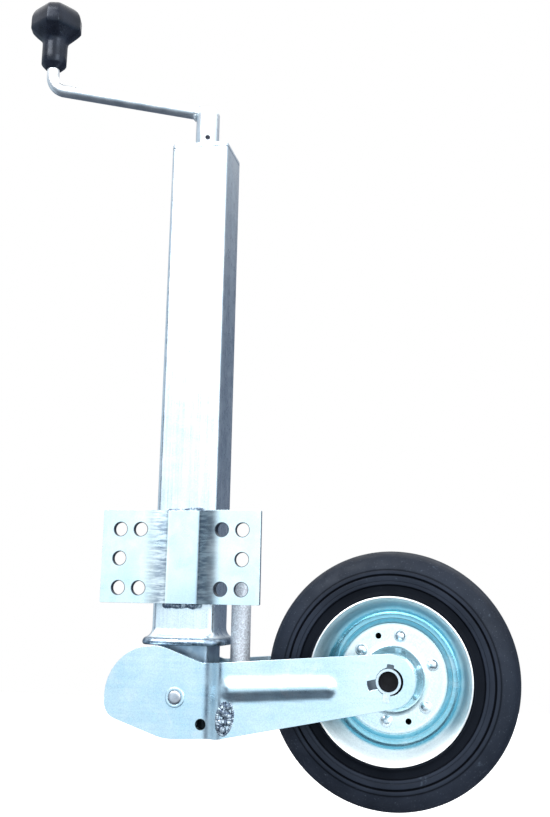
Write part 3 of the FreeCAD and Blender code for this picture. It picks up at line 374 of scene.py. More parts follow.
def weld_metal(name):
    """Plated weld bead: rough, uneven and dull, with bright crests."""
    s = Shader(name)
    lumps = s.noise(230, detail=4, warp=0.8)
    colour = s.mix(s.span(lumps, 0, 1, 0.42, 0.68), (0.08, 0.11, 0.16), (0.54, 0.64, 0.72))
    s.put("Base Color", colour)
    s.put("Metallic", 0.9)
    s.put("Roughness", s.span(s.noise(300), 0.34, 0.62))
    s.put("Normal", s.bump(lumps, 0.0002, 0.35))
    return s.material


def tyre_rubber(name):
    """Solid rubber: dark slate with fine grain and a few pale scuffs. Painted by radius: the
    grooves and the bead band darker and duller as shade, highlights on the ridges beside them, and
    specks on the shoulder."""
    s = Shader(name)
    reach = s.radius(AXLE)
    # Painted light by radius: factors under 1 darken the grooves and the bead band as painted shade,
    # factors over 1 brighten the ridges beside them as painted highlights; the same factors scale the
    # gloss.
    depth = s.bands(reach, 120, [(place, (level,) * 3) for place, level in (
        (74.5, 1.0), (75.5, 0.30), (82.6, 0.40), (83.6, 0.12), (84.6, 1.15), (86.7, 1.0),
        (87.0, 0.30), (87.3, 1.0), (91.4, 1.05), (92.2, 0.12), (93.2, 0.12), (93.9, 1.15),
        (96.2, 1.0), (97.2, 0.25), (98.6, 1.0), (112, 1.0))])
    bloom = s.noise(14, detail=6, rough=0.6, warp=0.5)
    colour = s.mix(s.span(bloom, 0, 1), (0.0035, 0.0055, 0.0110), (0.0085, 0.0120, 0.0210))
    scuffs = s.noise(1.0, detail=5, rough=0.7, warp=0.3, stretch=(60, 220, 60))
    colour = s.mix(s.span(scuffs, 0, 0.35, 0.63, 0.72), colour, (0.06, 0.08, 0.11))
    shoulder = s.span(reach, 0, 1, 0.096, 0.101)
    speck = s.math("MULTIPLY", s.span(s.cells(1500), 0, 0.3, 0.84, 1.0), shoulder)
    colour = s.mix(speck, colour, (0.12, 0.15, 0.19))
    s.put("Base Color", s.shade(colour, depth))
    s.put("Roughness", s.span(s.noise(90, detail=4), 0.46, 0.62))
    s.put("Specular IOR Level", s.math("MULTIPLY", depth, 0.20))
    s.put("Specular Tint", (0.82, 0.90, 1.0, 1))
    fine = s.bump(s.noise(1600, detail=2), 0.0001, 0.5)
    s.put("Normal", s.bump(s.noise(130, detail=3), 0.0003, 0.35, fine))
    return s.material


def black_plastic(name):
    """Moulded plastic, slightly rippled, with an uneven and bluish gloss."""
    s = Shader(name)
    colour = s.mix(s.span(s.noise(60, detail=4), 0, 1),
                   (0.0025, 0.0035, 0.007), (0.007, 0.009, 0.016))
    s.put("Base Color", colour)
    s.put("Roughness", s.span(s.noise(150, detail=5, warp=0.5), 0.24, 0.36))
    s.put("Specular IOR Level", 0.30)
    s.put("Specular Tint", (0.78, 0.86, 1.0, 1))
    s.put("Normal", s.bump(s.noise(220, detail=2), 0.00008, 0.5))
    return s.material


def soft_plastic(name, pale, deep, rough=(0.42, 0.60), subsurface=0.0, gloss=0.5):
    """Dull moulded plastic or rubber for plugs, liners, cages and seals."""
    s = Shader(name)
    s.put("Base Color", s.mix(s.span(s.noise(80, detail=4), 0, 1), deep, pale))
    s.put("Roughness", s.span(s.noise(200), rough[0], rough[1]))
    s.put("Subsurface Weight", subsurface)
    s.put("Specular IOR Level", gloss)
    s.put("Normal", s.bump(s.noise(700, detail=3), 0.0001, 0.4))
    return s.material


def make_finishes():
    """One material for each slot of the record."""
    return {
        "zinc": zinc("zinc_tube", (0.86, 0.93, 0.98), (0.72, 0.82, 0.90), (0.26, 0.36), 12,
                     streaks=(420, 420, 7), spangle=0.12),
        "plate_zinc": plate_zinc("zinc_plate"),
        "fork_zinc": zinc("zinc_fork", (0.76, 0.90, 0.97), (0.64, 0.82, 0.92), (0.28, 0.40), 20,
                          streaks=(14, 60, 300), streak=0.03,
                          mottle=((0.86, 0.93, 0.97), 30, 0.56, 0.74),
                          # The drain hole's dark ring is painted shade.
                          hole_shade=(PIVOT + Vector((DRAIN.x, 0, DRAIN.y)), DRAIN_RADIUS)),
        "stop_zinc": stop_zinc("stop_zinc"),
        "oiled_steel": steel("oiled_steel", (0.17, 0.20, 0.23), (0.07, 0.08, 0.10)),
        "collar_zinc": collar_zinc("zinc_collar"),
        "rim_zinc": rim_zinc("zinc_rim"),
        "rivet_zinc": zinc("zinc_rivets", (0.90, 0.95, 0.98), (0.72, 0.82, 0.88),
                           (0.20, 0.32), 200),
        "rod_zinc": zinc("zinc_rod", (0.88, 0.90, 0.92), (0.78, 0.81, 0.84), (0.34, 0.44), 60,
                         spangle=0.04),
        "plain_steel": steel("machined_steel", (0.74, 0.77, 0.82), (0.40, 0.40, 0.44)),
        "bearing_steel": steel("bearing_steel", (0.82, 0.83, 0.85), (0.66, 0.67, 0.70), (0.10, 0.2)),
        "bronze": steel("bronze", (0.66, 0.48, 0.24), (0.42, 0.29, 0.14)),
        "weld": weld_metal("weld_metal"),
        "nylon": soft_plastic("nylon", (0.86, 0.86, 0.80), (0.74, 0.74, 0.68), subsurface=0.05),
        "black_nylon": soft_plastic("black_nylon", (0.008, 0.008, 0.010), (0.003, 0.003, 0.004),
                                    gloss=0.08),
        "knob_plastic": black_plastic("knob_plastic"),
        "seal_rubber": soft_plastic("seal_rubber", (0.03, 0.03, 0.035), (0.015, 0.015, 0.018)),
        "tyre_rubber": tyre_rubber("tyre_rubber"),
    }


# ---------------------------------------------------------------- mesh helpers

def add_piece(name, shape, nodes, sharp, slot=None):
    """A named piece in place of CAD nodes, with the first node's body and, unless told
    otherwise, its slot. Shading is smooth, and crisp over the sharp angle."""
    verts, faces = shape
    mesh = bpy.data.meshes.new(name)
    mesh.from_pydata([tuple(vertex) for vertex in verts], [], faces)
    mesh.validate()
    work = bmesh.new()
    work.from_mesh(mesh)
    bmesh.ops.remove_doubles(work, verts=work.verts, dist=1e-7)
    bmesh.ops.recalc_face_normals(work, faces=work.faces)
    limit = math.radians(sharp)
    for edge in work.edges:
        edge.smooth = len(edge.link_faces) != 2 or edge.calc_face_angle(0) < limit
    for face in work.faces:
        face.smooth = True
    work.to_mesh(mesh)
    work.free()
    piece = bpy.data.objects.new(name, mesh)
    bpy.context.scene.collection.objects.link(piece)
    slot = slot or SLOT_OF[nodes[0]]
    mesh.materials.append(FINISH[slot])
    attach(piece, BODY_OF[nodes[0]])
    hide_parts(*nodes)
    return piece


def soften(piece, width, angle):
    """Round every edge of a piece that is crisper than the angle."""
    rounding = piece.modifiers.new("edge_rounding", "BEVEL")
    rounding.width = width
    rounding.segments = 2
    rounding.limit_method = "ANGLE"
    rounding.angle_limit = math.radians(angle)


def fillet(points, steps=5):
    """A closed outline with its corners rounded: each point is (a, b) or (a, b, radius)."""
    flat = [Vector(point[:2]) for point in points]
    rounded = []
    for index, point in enumerate(points):
        here = flat[index]
        if len(point) < 3:
            rounded.append(here)
            continue
        before = (flat[index - 1] - here).normalized()
        after = (flat[(index + 1) % len(flat)] - here).normalized()
        half = before.angle(after) / 2
        reach = point[2] / math.tan(half)
        centre = here + (before + after).normalized() * (point[2] / math.sin(half))
        start, stop = here + before * reach - centre, here + after * reach - centre
        turn = start.angle_signed(stop)
        count = max(2, round(abs(turn) / math.radians(90 / steps)))
        for step in range(count + 1):
            rounded.append(centre + Matrix.Rotation(-turn * step / count, 2) @ start)
    return rounded


def refine(loop, pitch):
    """The same closed loop with points no further apart than the pitch."""
    dense = []
    for index, point in enumerate(loop):
        following = loop[(index + 1) % len(loop)]
        count = max(1, math.ceil((following - point).length / pitch))
        dense += [point.lerp(following, step / count) for step in range(count)]
    return dense


def stack(rings, closed_tube=False):
    """Faces that join equal rings one after another, with flat ends or joined to the first."""
    count = len(rings[0])
    levels = len(rings)
    verts = [vertex for ring in rings for vertex in ring]
    faces = []
    for level in range(levels if closed_tube else levels - 1):
        above = (level + 1) % levels
        for index in range(count):
            after = (index + 1) % count
            faces.append((level * count + index, level * count + after,
                          above * count + after, above * count + index))
    if not closed_tube:
        faces.append(tuple(range(count)))
        faces.append(tuple(range((levels - 1) * count, levels * count)))
    return verts, faces


def spin(profile, centre, axis, segments=128):
    """A closed (radius, height) outline turned about an axis through the centre."""
    rings = []
    for radius, height in profile:
        ring = []
        for step in range(segments):
            angle = math.tau * step / segments
            across, up = radius * math.cos(angle), radius * math.sin(angle)
            if axis == "Y":
                ring.append(centre + Vector((across, height, up)))
            else:
                ring.append(centre + Vector((across, up, height)))
        rings.append(ring)
    return stack(rings, closed_tube=True)


def turned_piece(name, outline, centre, node, segments, steps=5, sharp=40, slot=None):
    """A piece turned about an axis along Y, from an outline in millimetres."""
    profile = [(max(a, 0) * MM, b * MM) for a, b in fillet(outline, steps)]
    return add_piece(name, spin(profile, centre, "Y", segments), (node,), sharp, slot)


def rounded_square(half, radius, level, steps=8):
    """A ring of points round the tube's axis: a square with rounded corners, at one level."""
    ring = []
    for quarter, (a, b) in enumerate(((1, 1), (-1, 1), (-1, -1), (1, -1))):
        centre = Vector((a, b)) * (half - radius)
        for step in range(steps + 1):
            angle = math.radians(90) * (quarter + step / steps)
            spot = centre + Vector((math.cos(angle), math.sin(angle))) * radius
            ring.append(Vector((PIVOT.x + spot.x, PIVOT.y + spot.y, level)))
    return ring


def swept(path, radius, segments, shape=None):
    """A round bar along a path; shape(step, angle) scales its radius."""
    rings = []
    count = len(path)
    side = None
    for step, point in enumerate(path):
        ahead = path[min(step + 1, count - 1)] - path[max(step - 1, 0)]
        ahead.normalize()
        if side is None:
            side = ahead.orthogonal().normalized()
        side = (side - ahead * side.dot(ahead)).normalized()
        other = ahead.cross(side)
        ring = []
        for turn in range(segments):
            angle = math.tau * turn / segments
            size = radius * (shape(step, angle) if shape else 1)
            ring.append(point + (side * math.cos(angle) + other * math.sin(angle)) * size)
        rings.append(ring)
    return stack(rings)


def inside(point, loop):
    """True where a point lies inside a closed loop."""
    found = False
    for index, corner in enumerate(loop):
        other = loop[index - 1]
        if (corner.y > point.y) != (other.y > point.y):
            cross = (other.x - corner.x) * (point.y - corner.y) / (other.y - corner.y) + corner.x
            if point.x < cross:
                found = not found
    return found


def far_from(point, loops, gap):
    return all((point - corner).length > gap for loop in loops for corner in loop)


def thinned(loop, gap=0.0004):
    """The same loop without points that crowd the one before them."""
    kept = [loop[0]]
    for point in loop[1:]:
        if (point - kept[-1]).length > gap:
            kept.append(point)
    if (kept[0] - kept[-1]).length <= gap:
        kept.pop()
    return kept


def pressed_sheet(outline, holes, lift, thickness, pitch, to_space):
    """Sheet metal with a pressed shape: lift(a, b) is how far its face stands out, and
    to_space puts a point of the flat drawing, with its lift, in the frame."""
    loops = [refine(thinned(loop), pitch) for loop in [outline] + holes]
    points, edges = [], []
    for loop in loops:
        first = len(points)
        points += loop
        edges += [(first + step, first + (step + 1) % len(loop)) for step in range(len(loop))]
    low = Vector((min(p.x for p in outline), min(p.y for p in outline)))
    high = Vector((max(p.x for p in outline), max(p.y for p in outline)))
    rows = int((high.y - low.y) / pitch)
    columns = int((high.x - low.x) / pitch)
    for row in range(1, rows + 1):
        for column in range(1, columns + 1):
            spot = low + Vector((column + 0.5 * (row % 2), row)) * pitch
            if (inside(spot, loops[0]) and not any(inside(spot, hole) for hole in loops[1:])
                    and far_from(spot, loops, pitch * 0.6)):
                points.append(spot)
    flat, _, triangles, *_ = geometry.delaunay_2d_cdt(points, edges, [], 0, 1e-7)
    kept = []
    for triangle in triangles:
        middle = sum((flat[index] for index in triangle), Vector((0, 0))) / 3
        first, second, third = (flat[index] for index in triangle)
        if abs((second - first).cross(third - first)) < 0.01 * pitch * pitch:
            continue
        if inside(middle, loops[0]) and not any(inside(middle, hole) for hole in loops[1:]):
            kept.append(triangle)
    step = 0.2 * MM
    front, back = [], []
    for spot in flat:
        height = lift(spot.x, spot.y)
        slope = Vector(((lift(spot.x + step, spot.y) - lift(spot.x - step, spot.y)) / (2 * step),
                        (lift(spot.x, spot.y + step) - lift(spot.x, spot.y - step)) / (2 * step)))
        normal = Vector((-slope.x, -slope.y, 1)).normalized()
        surface = Vector((spot.x, spot.y, height))
        front.append(to_space(surface))
        back.append(to_space(surface - normal * thickness))
    count = len(flat)
    used = {}
    faces = []
    for triangle in kept:
        faces.append(tuple(triangle))
        faces.append(tuple(index + count for index in reversed(triangle)))
        for start, stop in zip(triangle, triangle[1:] + triangle[:1]):
            key = (min(start, stop), max(start, stop))
            used.setdefault(key, []).append((start, stop))
    for sides in used.values():
        if len(sides) == 1:
            start, stop = sides[0]
            faces.append((stop, start, start + count, stop + count))
    return front + back, faces


def ring_of(x, y, radius, count=40):
    return [Vector((x + radius * math.cos(math.tau * step / count),
                    y + radius * math.sin(math.tau * step / count))) for step in range(count)]


def corner_ramp(distance, width):
    """0 before a bend and the distance beyond it, blended over the bend's width."""
    if distance <= -width:
        return 0.0
    if distance >= width:
        return distance
    return (distance + width) ** 2 / (4 * width)


def ramp(position, start, stop, rise, start_width, stop_width):
    """A straight slope from start to stop with softly rounded bends."""
    slope = rise / (stop - start)
    return slope * (corner_ramp(position - start, start_width)
                    - corner_ramp(position - stop, stop_width))


def bead(path, radius, seed, ripple=1.6 * MM, segments=14):
    """A weld bead: overlapping ripples of a wandering width along a path."""
    pitch = 0.4 * MM
    dense = []
    for start, stop in zip(path, path[1:]):
        count = max(2, round((stop - start).length / pitch))
        dense += [start.lerp(stop, step / count) for step in range(count)]
    dense.append(path[-1])
    total = len(dense)

    def shape(step, angle):
        along = step * pitch
        wave = 0.10 * math.sin(math.tau * along / ripple) + 0.04
        wander = 0.22 * noise.noise(Vector((along * 160, seed, 0)))
        skin = 0.05 * noise.noise(Vector((along * 700, math.cos(angle) * 2,
                                          seed + math.sin(angle))))
        end = min(1, (step + 1.5) / 6, (total - step + 0.5) / 6)
        return (1 + wave + wander + skin) * math.sqrt(max(end, 0.05))

    return swept(dense, radius, segments, shape)


def merged(parts):
    verts, faces = [], []
    for some, more in parts:
        first = len(verts)
        verts += some
        faces += [tuple(index + first for index in face) for face in more]
    return verts, faces


# ---------------------------------------------------------------- outer tube, cap, plate

def make_tube():
    low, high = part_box("outer_tube")
    half = (high.x - low.x) / 2
    rings = []
    for inset, level, radius in ((0, low.z, 5), (0, high.z - 0.3 * MM, 5), (0.3, high.z, 4.7),
                                 (3, high.z, 2.2), (3, low.z, 2.2)):
        rings.append(rounded_square(half - inset * MM, radius * MM, level))
    add_piece("outer_tube_skin", stack(rings, closed_tube=True), ("outer_tube",), 30)


def make_cap():
    """Lid with a rolled edge and a low boss, and the plug that centres it in the tube."""
    low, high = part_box("top_cap")
    half = (high.x - low.x) / 2
    tube_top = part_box("outer_tube")[1].z
    lid_top = tube_top + 6 * MM
    roll = 2.6 * MM
    levels = [(half - 3.1 * MM, 2, low.z), (half - 3.1 * MM, 2, tube_top),
              (half - 0.6 * MM, 4.6, tube_top + 0.2 * MM), (half, 5, tube_top + 0.9 * MM),
              (half, 5, lid_top - roll)]
    for step in range(1, 7):
        angle = math.radians(90) * step / 6
        inset = roll * (1 - math.cos(angle))
        levels.append((half - inset, 5 - inset / MM * 0.6, lid_top - roll * (1 - math.sin(angle))))
    levels.append((half - 8 * MM, 2.5, lid_top + 0.3 * MM))
    rings = [rounded_square(size, radius * MM, level) for size, radius, level in levels]
    boss = [(13, lid_top / MM - 1), (17.6, lid_top / MM - 1), (17, high.z / MM - 1.2, 1),
            (15.6, high.z / MM, 0.8), (13, high.z / MM)]
    profile = [(a * MM, b * MM) for a, b in fillet(boss, 4)]
    turned = spin(profile, Vector((PIVOT.x, PIVOT.y, 0)), "Z", 96)
    add_piece("top_cap_skin", merged([stack(rings), turned]), ("top_cap",), 35)


def make_collar():
    """Flared mouth: the section below goes round the tube, its corners wider as it flares."""
    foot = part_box("bell_mouth")[0].z / MM
    section = fillet([(30.0, foot + 16), (30.3, foot + 8, 9), (38, foot + 6.5, 4),
                      (40.2, foot + 2.6, 3), (38.5, foot - 0.2, 2.2), (34.5, foot + 0.4, 2),
                      (29.5, foot + 7, 9), (27.2, foot + 16)], 7)
    rings = []
    for reach, level in section:
        radius = 5 + max(0, reach - 30) * 1.25 if reach > 30 else max(2.2, reach - 25)
        rings.append(rounded_square(reach * MM, radius * MM, level * MM, 12))
    add_piece("bell_mouth_skin", stack(rings, closed_tube=True), ("bell_mouth",), 60)


def make_plate():
    low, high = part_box("mounting_plate")
    half_width, top, bottom = high.x, high.z, low.z
    mounts = {mount["name"]: mount for mount in RECORD["mounts"]}
    outer, inner = mounts["plate_bolts_outer"]["dims"], mounts["plate_bolts_inner"]["dims"]
    radius = outer["hole_r_mm"] * MM
    rows = outer["spacing_y_mm"] / 2 * MM
    holes = []
    for side in (-1, 1):
        wide, narrow = (side * dims["spacing_x_mm"] / 2 * MM for dims in (outer, inner))
        holes.append(ring_of(wide, 0, radius))
        for level in (-rows, rows):
            holes += [ring_of(wide, level, radius), ring_of(narrow, level, radius)]
    corner = 1.2 * MM
    outline = fillet([(half_width, top, corner), (-half_width, top, corner),
                      (-half_width, bottom, corner), (half_width, bottom, corner)], 3)
    depth, flat, mouth = 9 * MM, 15.5 * MM, 32 * MM

    def lift(x, z):
        return -ramp(-abs(x), -mouth, -flat, depth, 8.5 * MM, 0.6 * MM)

    def to_space(point):
        return Vector((point.x, -point.z, point.y))

    sheet = pressed_sheet(outline, holes, lift, 6 * MM, 2.2 * MM, to_space)
    soften(add_piece("mounting_plate_skin", sheet, ("mounting_plate",), 50), 0.7 * MM, 50)


def make_plate_welds():
    """Beads under and over the trough, and down the tube's corners behind the plate."""
    plate_low, plate_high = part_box("mounting_plate")
    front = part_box("outer_tube")[0].y
    parts = []
    seed = 3
    for level, lean, size in ((plate_low.z - 0.9 * MM, -1, 2.7),
                              (plate_high.z + 0.2 * MM, 1, 1.8)):
        rng = random.Random(seed)
        path = [Vector(((-19 + 38 * step / 9) * MM, front - 1.6 * MM,
                        level + lean * rng.uniform(-0.2, 1.5) * MM)) for step in range(10)]
        parts.append(bead(path, size * MM, seed))
        seed += 1
    for side in (-1, 1):
        x = side * 28.6 * MM
        path = [Vector((x, front - 2.4 * MM, plate_low.z + 5 * MM)),
                Vector((x, front - 2.4 * MM, plate_high.z - 5 * MM))]
        parts.append(bead(path, 2.8 * MM, seed))
        seed += 1
    add_piece("plate_weld_beads", merged(parts), ("plate_welds",), 80)


# ---------------------------------------------------------------- crank and knob

def make_rod():
    """Round bar: up through the knob, round a bend, and down the arm to the socket."""
    low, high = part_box("crank_rod")
    top = Vector((GRIP.x, GRIP.y, high.z))
    bend = 20 * MM
    up, along = Vector((0, 0, 1)), (ROD_ROOT - ROD_CORNER).normalized()
    half = up.angle(along) / 2
    centre = ROD_CORNER + (up + along).normalized() * (bend / math.sin(half))
    reach = bend / math.tan(half)
    above, beyond = ROD_CORNER + up * reach, ROD_CORNER + along * reach
    start, stop = above - centre, beyond - centre
    turn = start.angle(stop)
    axis = start.cross(stop).normalized()
    path = [top, top.lerp(above, 0.5)]
    path += [centre + Matrix.Rotation(turn * step / 20, 3, axis) @ start for step in range(21)]
    path += [beyond.lerp(ROD_ROOT, step / 6) for step in range(1, 7)]
    add_piece("crank_rod_skin", swept(path, (high.y - low.y) / 2, 40), ("crank_rod",), 50)


def make_crank_weld():
    """Bead round the rod where it enters the socket."""
    along = (ROD_CORNER - ROD_ROOT).normalized()
    low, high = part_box("crank_weld")
    centre = ROD_ROOT + along * (((low + high) / 2 - ROD_ROOT).dot(along))
    side = Vector((0, 1, 0))
    other = along.cross(side)
    path = []
    for step in range(25):
        angle = math.tau * step / 24
        path.append(centre + (side * math.cos(angle) + other * math.sin(angle)) * 7.2 * MM)
    add_piece("crank_weld_bead", bead(path, 1.5 * MM, 21, 3 * MM, 12), ("crank_weld",), 80)


# The knob from its foot to its crown: height over the pivot, distance from the axis to a
# flat, and roundness, which is 1 where the section is a circle and 0 where it has facets.
KNOB_RINGS = [(669, 8.2, 1), (670, 9.6, 1), (673.6, 13.0, 1), (675, 13.9, 1), (683, 14, 1),
              (698, 14, 1), (702, 14.3, 0.9), (705, 15.5, 0.7), (707.5, 17.4, 0.45),
              (710, 19.4, 0.25), (712.5, 21.3, 0.12), (715, 23.0, 0.04), (717, 24, 0),
              (721, 24, 0), (728, 24, 0), (731.5, 23.8, 0.02), (735, 23.0, 0.05),
              (738.5, 21.5, 0.10), (741.3, 19.2, 0.18), (743.4, 16.5, 0.3),
              (744.9, 13.2, 0.5), (745.7, 9.2, 0.75), (746, 5, 1)]
KNOB_TURN = 59          # degrees that the facets are turned about the knob's axis
FACETED_SHARE = 0.625   # half a flat's width over its distance: square with cut corners
EVEN_SHARE = 0.414      # the same for a regular octagon
KNOB_EDGE = 2.6         # rounding between the facets, in millimetres
CUT_DIAGONAL = 1.707    # widest rounding that fits a cut corner, over the corner's size


def make_knob():
    """Square head with cut corners that runs out into a round neck below and a dome above."""
    turn = Matrix.Rotation(math.radians(KNOB_TURN), 2)
    rings = []
    for level, flat, roundness in KNOB_RINGS:
        share = FACETED_SHARE + (EVEN_SHARE - FACETED_SHARE) * roundness
        wide = flat * share
        limit = 0.96 * CUT_DIAGONAL * (1 - share) * flat
        corner = min(limit, KNOB_EDGE + (flat - KNOB_EDGE) * roundness)
        points = [(flat, wide), (wide, flat), (-wide, flat), (-flat, wide), (-flat, -wide),
                  (-wide, -flat), (wide, -flat), (flat, -wide)]
        ring = fillet([(*(turn @ Vector(point)), corner) for point in points], 8)
        rings.append([Vector((GRIP.x + p.x * MM, GRIP.y + p.y * MM, PIVOT.z + level * MM))
                      for p in ring])
    add_piece("knob_skin", stack(rings), ("knob", "knob_cap"), 50)


# ---------------------------------------------------------------- fork

FORK_OUTLINE = [(-68.5, 65, 45.5), (-68.5, -17.2, 16), (-9.3, -37, 40), (41, -34.6, 40),
                (220.9, 2.05, 23), (220.9, 46.55, 23), (25, 31, 14)]
# The bend that carries the plate outwards past the wheel: start, stop, rise, and the
# widths over which its two corners are blended.
JOGGLE = (31.5, 44.5, 12, 5.0, 3.4)
# The pressed rib: its ends, its half width at each end, and its height.
RIB = (Vector((56, 9.8)), Vector((143, 14.7)), 10.6, 9.4, 4.9)
# The slot for the crossbar's end: its middle, and its lean in degrees.
PLUG_MIDDLE = Vector((50.6, -15.5))
PLUG_TURN = Matrix.Rotation(math.radians(-9), 2)
# The keyways in the axle hole: direction in degrees, width, and how far out each reaches.
KEYWAYS = [(82, 6.2, 14.8), (193, 8.4, 19.0), (262, 6.2, 17.6)]


def fork_lift(x, z):
    """How far the plate's outer face stands from the pivot zone's face."""
    x, z = x / MM, z / MM
    rise = ramp(x, *JOGGLE)
    start, stop, wide, narrow, height = RIB
    run = stop - start
    share = min(1, max(0, (Vector((x, z)) - start).dot(run) / run.length_squared))
    width = wide + (narrow - wide) * share
    away = (Vector((x, z)) - start - run * share).length / width
    if away < 1:
        rise += height * (1 - away * away) ** 1.35
    return rise * MM


def axle_hole():
    """The keyed hole: a circle set a little forward of the axle, with three keyways."""
    axle = (AXLE - PIVOT) / MM
    hole_radius, slack = 12.1, 0.9
    hole = []
    for step in range(360):
        angle = math.radians(step)
        reach = (slack * math.cos(angle)
                 + math.sqrt(hole_radius ** 2 - (slack * math.sin(angle)) ** 2))
        for direction, width, length in KEYWAYS:
            away = angle - math.radians(direction)
            along, across = math.cos(away), abs(math.sin(away))
            if along > 0 and across * length < width / 2 + 0.001 * along:
                reach = max(reach, length)
            elif along > 0 and across > 1e-6:
                edge = width / 2 / across
                if edge * along <= length:
                    reach = max(reach, min(edge, length))
        hole.append(Vector((axle.x + reach * math.cos(angle),
                            axle.z + reach * math.sin(angle))) * MM)
    return hole


def make_fork_plates():
    """Pressed plates with the axle, drain, pin and crossbar holes, mirrored about the jack."""
    outline = [point * MM for point in fillet(FORK_OUTLINE, 9)]
    half, tall, corner = 6.9, 13.9, 6.5
    plug = fillet([(-half, -tall, corner), (half, -tall, corner), (half, tall, corner),
                   (-half, tall, corner)], 6)
    holes = [axle_hole(), ring_of(*DRAIN, DRAIN_RADIUS, 36), ring_of(0, 0, 6.4 * MM, 40),
             [(PLUG_MIDDLE + PLUG_TURN @ point) * MM for point in plug]]
    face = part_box("pivot_ring_near")[1].y
    for side, label in ((-1, "near"), (1, "far")):
        def to_space(point, side=side):
            out = face - point.z
            y = out if side < 0 else 2 * PIVOT.y - out
            return Vector((PIVOT.x + point.x, y, PIVOT.z + point.y))

        sheet = pressed_sheet(outline, holes, fork_lift, 6 * MM, 2.3 * MM, to_space)
        node = f"fork_plate_{label}"
        soften(add_piece(f"{node}_skin", sheet, (node,), 50), 0.6 * MM, 50)


def make_plug_welds():
    """Rough mounds that fill the slots over the crossbar's ends, each laid as a coiled bead."""
    low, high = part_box("fork_crossbar")
    parts = []
    for side, y in ((-1, low.y), (1, high.y)):
        route = [(3.5, 11.5), (-2.5, 9.5), (-4.2, 5), (3.6, 2.6), (4.4, -2), (-3.4, -4.2),
                 (-3.8, -8.4), (2.8, -11.2)]
        edge = [(7.3 * math.sin(turn), 14.6 * math.cos(turn))
                for turn in (math.tau * step / 24 for step in range(25))]
        for places, radius, ripple in ((route, 3.5, 2.4), (edge, 1.6, 1.8)):
            path = []
            for place in places:
                spot = PLUG_MIDDLE + PLUG_TURN @ Vector(place)
                path.append(Vector((PIVOT.x + spot.x * MM, y - side * 0.3 * MM,
                                    PIVOT.z + spot.y * MM)))
            parts.append(bead(path, radius * MM, 31 + side + radius, ripple * MM))
    add_piece("crossbar_plug_welds", merged(parts), ("crossbar_welds",), 80)


def make_pivot():
    """Pin with chamfered ends, and the collar ring round it on each side."""
    low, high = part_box("pivot_pin")
    half = (high.y - low.y) / 2 / MM
    end = [(0, 0.5), (3.2, 0), (5.4, 0.25, 1.5), (6.5, 1.8, 0.8)]
    outline = [(reach, inset - half, *rest) for reach, inset, *rest in end]
    outline += [(reach, half - inset, *rest) for reach, inset, *rest in reversed(end)]
    turned_piece("pivot_pin_skin", outline, PIVOT, "pivot_pin", 48)
    for node in ("pivot_ring_near", "pivot_ring_far"):
        low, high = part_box(node)
        inner, outer = 6.5, (high.x - low.x) / 2 / MM
        start, stop = (low.y - PIVOT.y) / MM, (high.y - PIVOT.y) / MM
        outline = [(inner, start, 0.3), (outer, start, 0.6), (outer, stop, 0.6),
                   (inner, stop, 0.3)]
        turned_piece(f"{node}_skin", outline, PIVOT, node, 64, 3, slot="fork_zinc")


# ---------------------------------------------------------------- wheel

def make_tyre():
    """Solid tyre: each side has a bead band, a ridge and grooves, under a plain tread."""
    half = [(62.8, 0), (67.3, 7.2), (70, 17.6), (72.4, 31.5), (74.2, 36.6), (75, 38.2, 0.5),
            (77.8, 37.2, 1.5), (83.2, 37.0, 0.8), (84.3, 39.6, 0.6), (86.6, 39.9, 0.2),
            (87, 39.5, 0.2), (87.4, 39.9, 0.2), (91.4, 40, 0.5), (92, 38.9, 0.4),
            (93.2, 38.9, 0.4), (93.8, 39.8, 0.5), (96.4, 39.6, 0.6), (97.2, 38.7, 0.6),
            (104, 37.6, 20), (112.5, 29, 14), (TYRE_RADIUS / MM, 12, 40)]
    outline = half + [(reach, -y, *rest) for reach, y, *rest in reversed(half[1:])]
    turned_piece("tyre_rubber", outline, AXLE, "tyre", 256, 6, 50)


RIM_OUTSIDE = [(22.4, -37.4, 1), (23.6, -16, 14), (27.5, -7.6, 7), (33.5, -6.5, 8), (49.5, -6.5, 2.4),
               (54, -2.2, 3), (59.5, -2.6, 6), (64.3, -10, 12), (67.4, -19, 12), (69.2, -30.5, 6),
               (71.3, -37.5, 2), (72, -40.0, 0.6)]
RIM_INSIDE = [(73.6, -39.3, 0.6), (73.4, -36.8, 1.5), (71.9, -31, 6), (69.8, -18.5, 12),
              (66.6, -8.6, 12), (62.6, -0.05), (53.6, -0.05), (49, -4.05), (20.1, -4.05),
              (20.1, -37.4)]
VENT_CIRCLE = 40 * MM
RIVET_CIRCLE = 38.5 * MM


def around_axle(degrees, radius):
    angle = math.radians(degrees)
    return AXLE + Vector((math.cos(angle), 0, math.sin(angle))) * radius


def make_rims():
    """Spun rim halves, each with two vent holes; the far half's angles are a guess."""
    for side, node, angles in ((-1, "rim_near", (110, 290)), (1, "rim_far", (50, 230))):
        outline = [(reach, y * -side, *rest) for reach, y, *rest in RIM_OUTSIDE + RIM_INSIDE]
        piece = turned_piece(f"{node}_skin", outline, AXLE, node, 192, 6, 45)
        drill(piece, [around_axle(angle, VENT_CIRCLE) for angle in angles], 2.8 * MM)


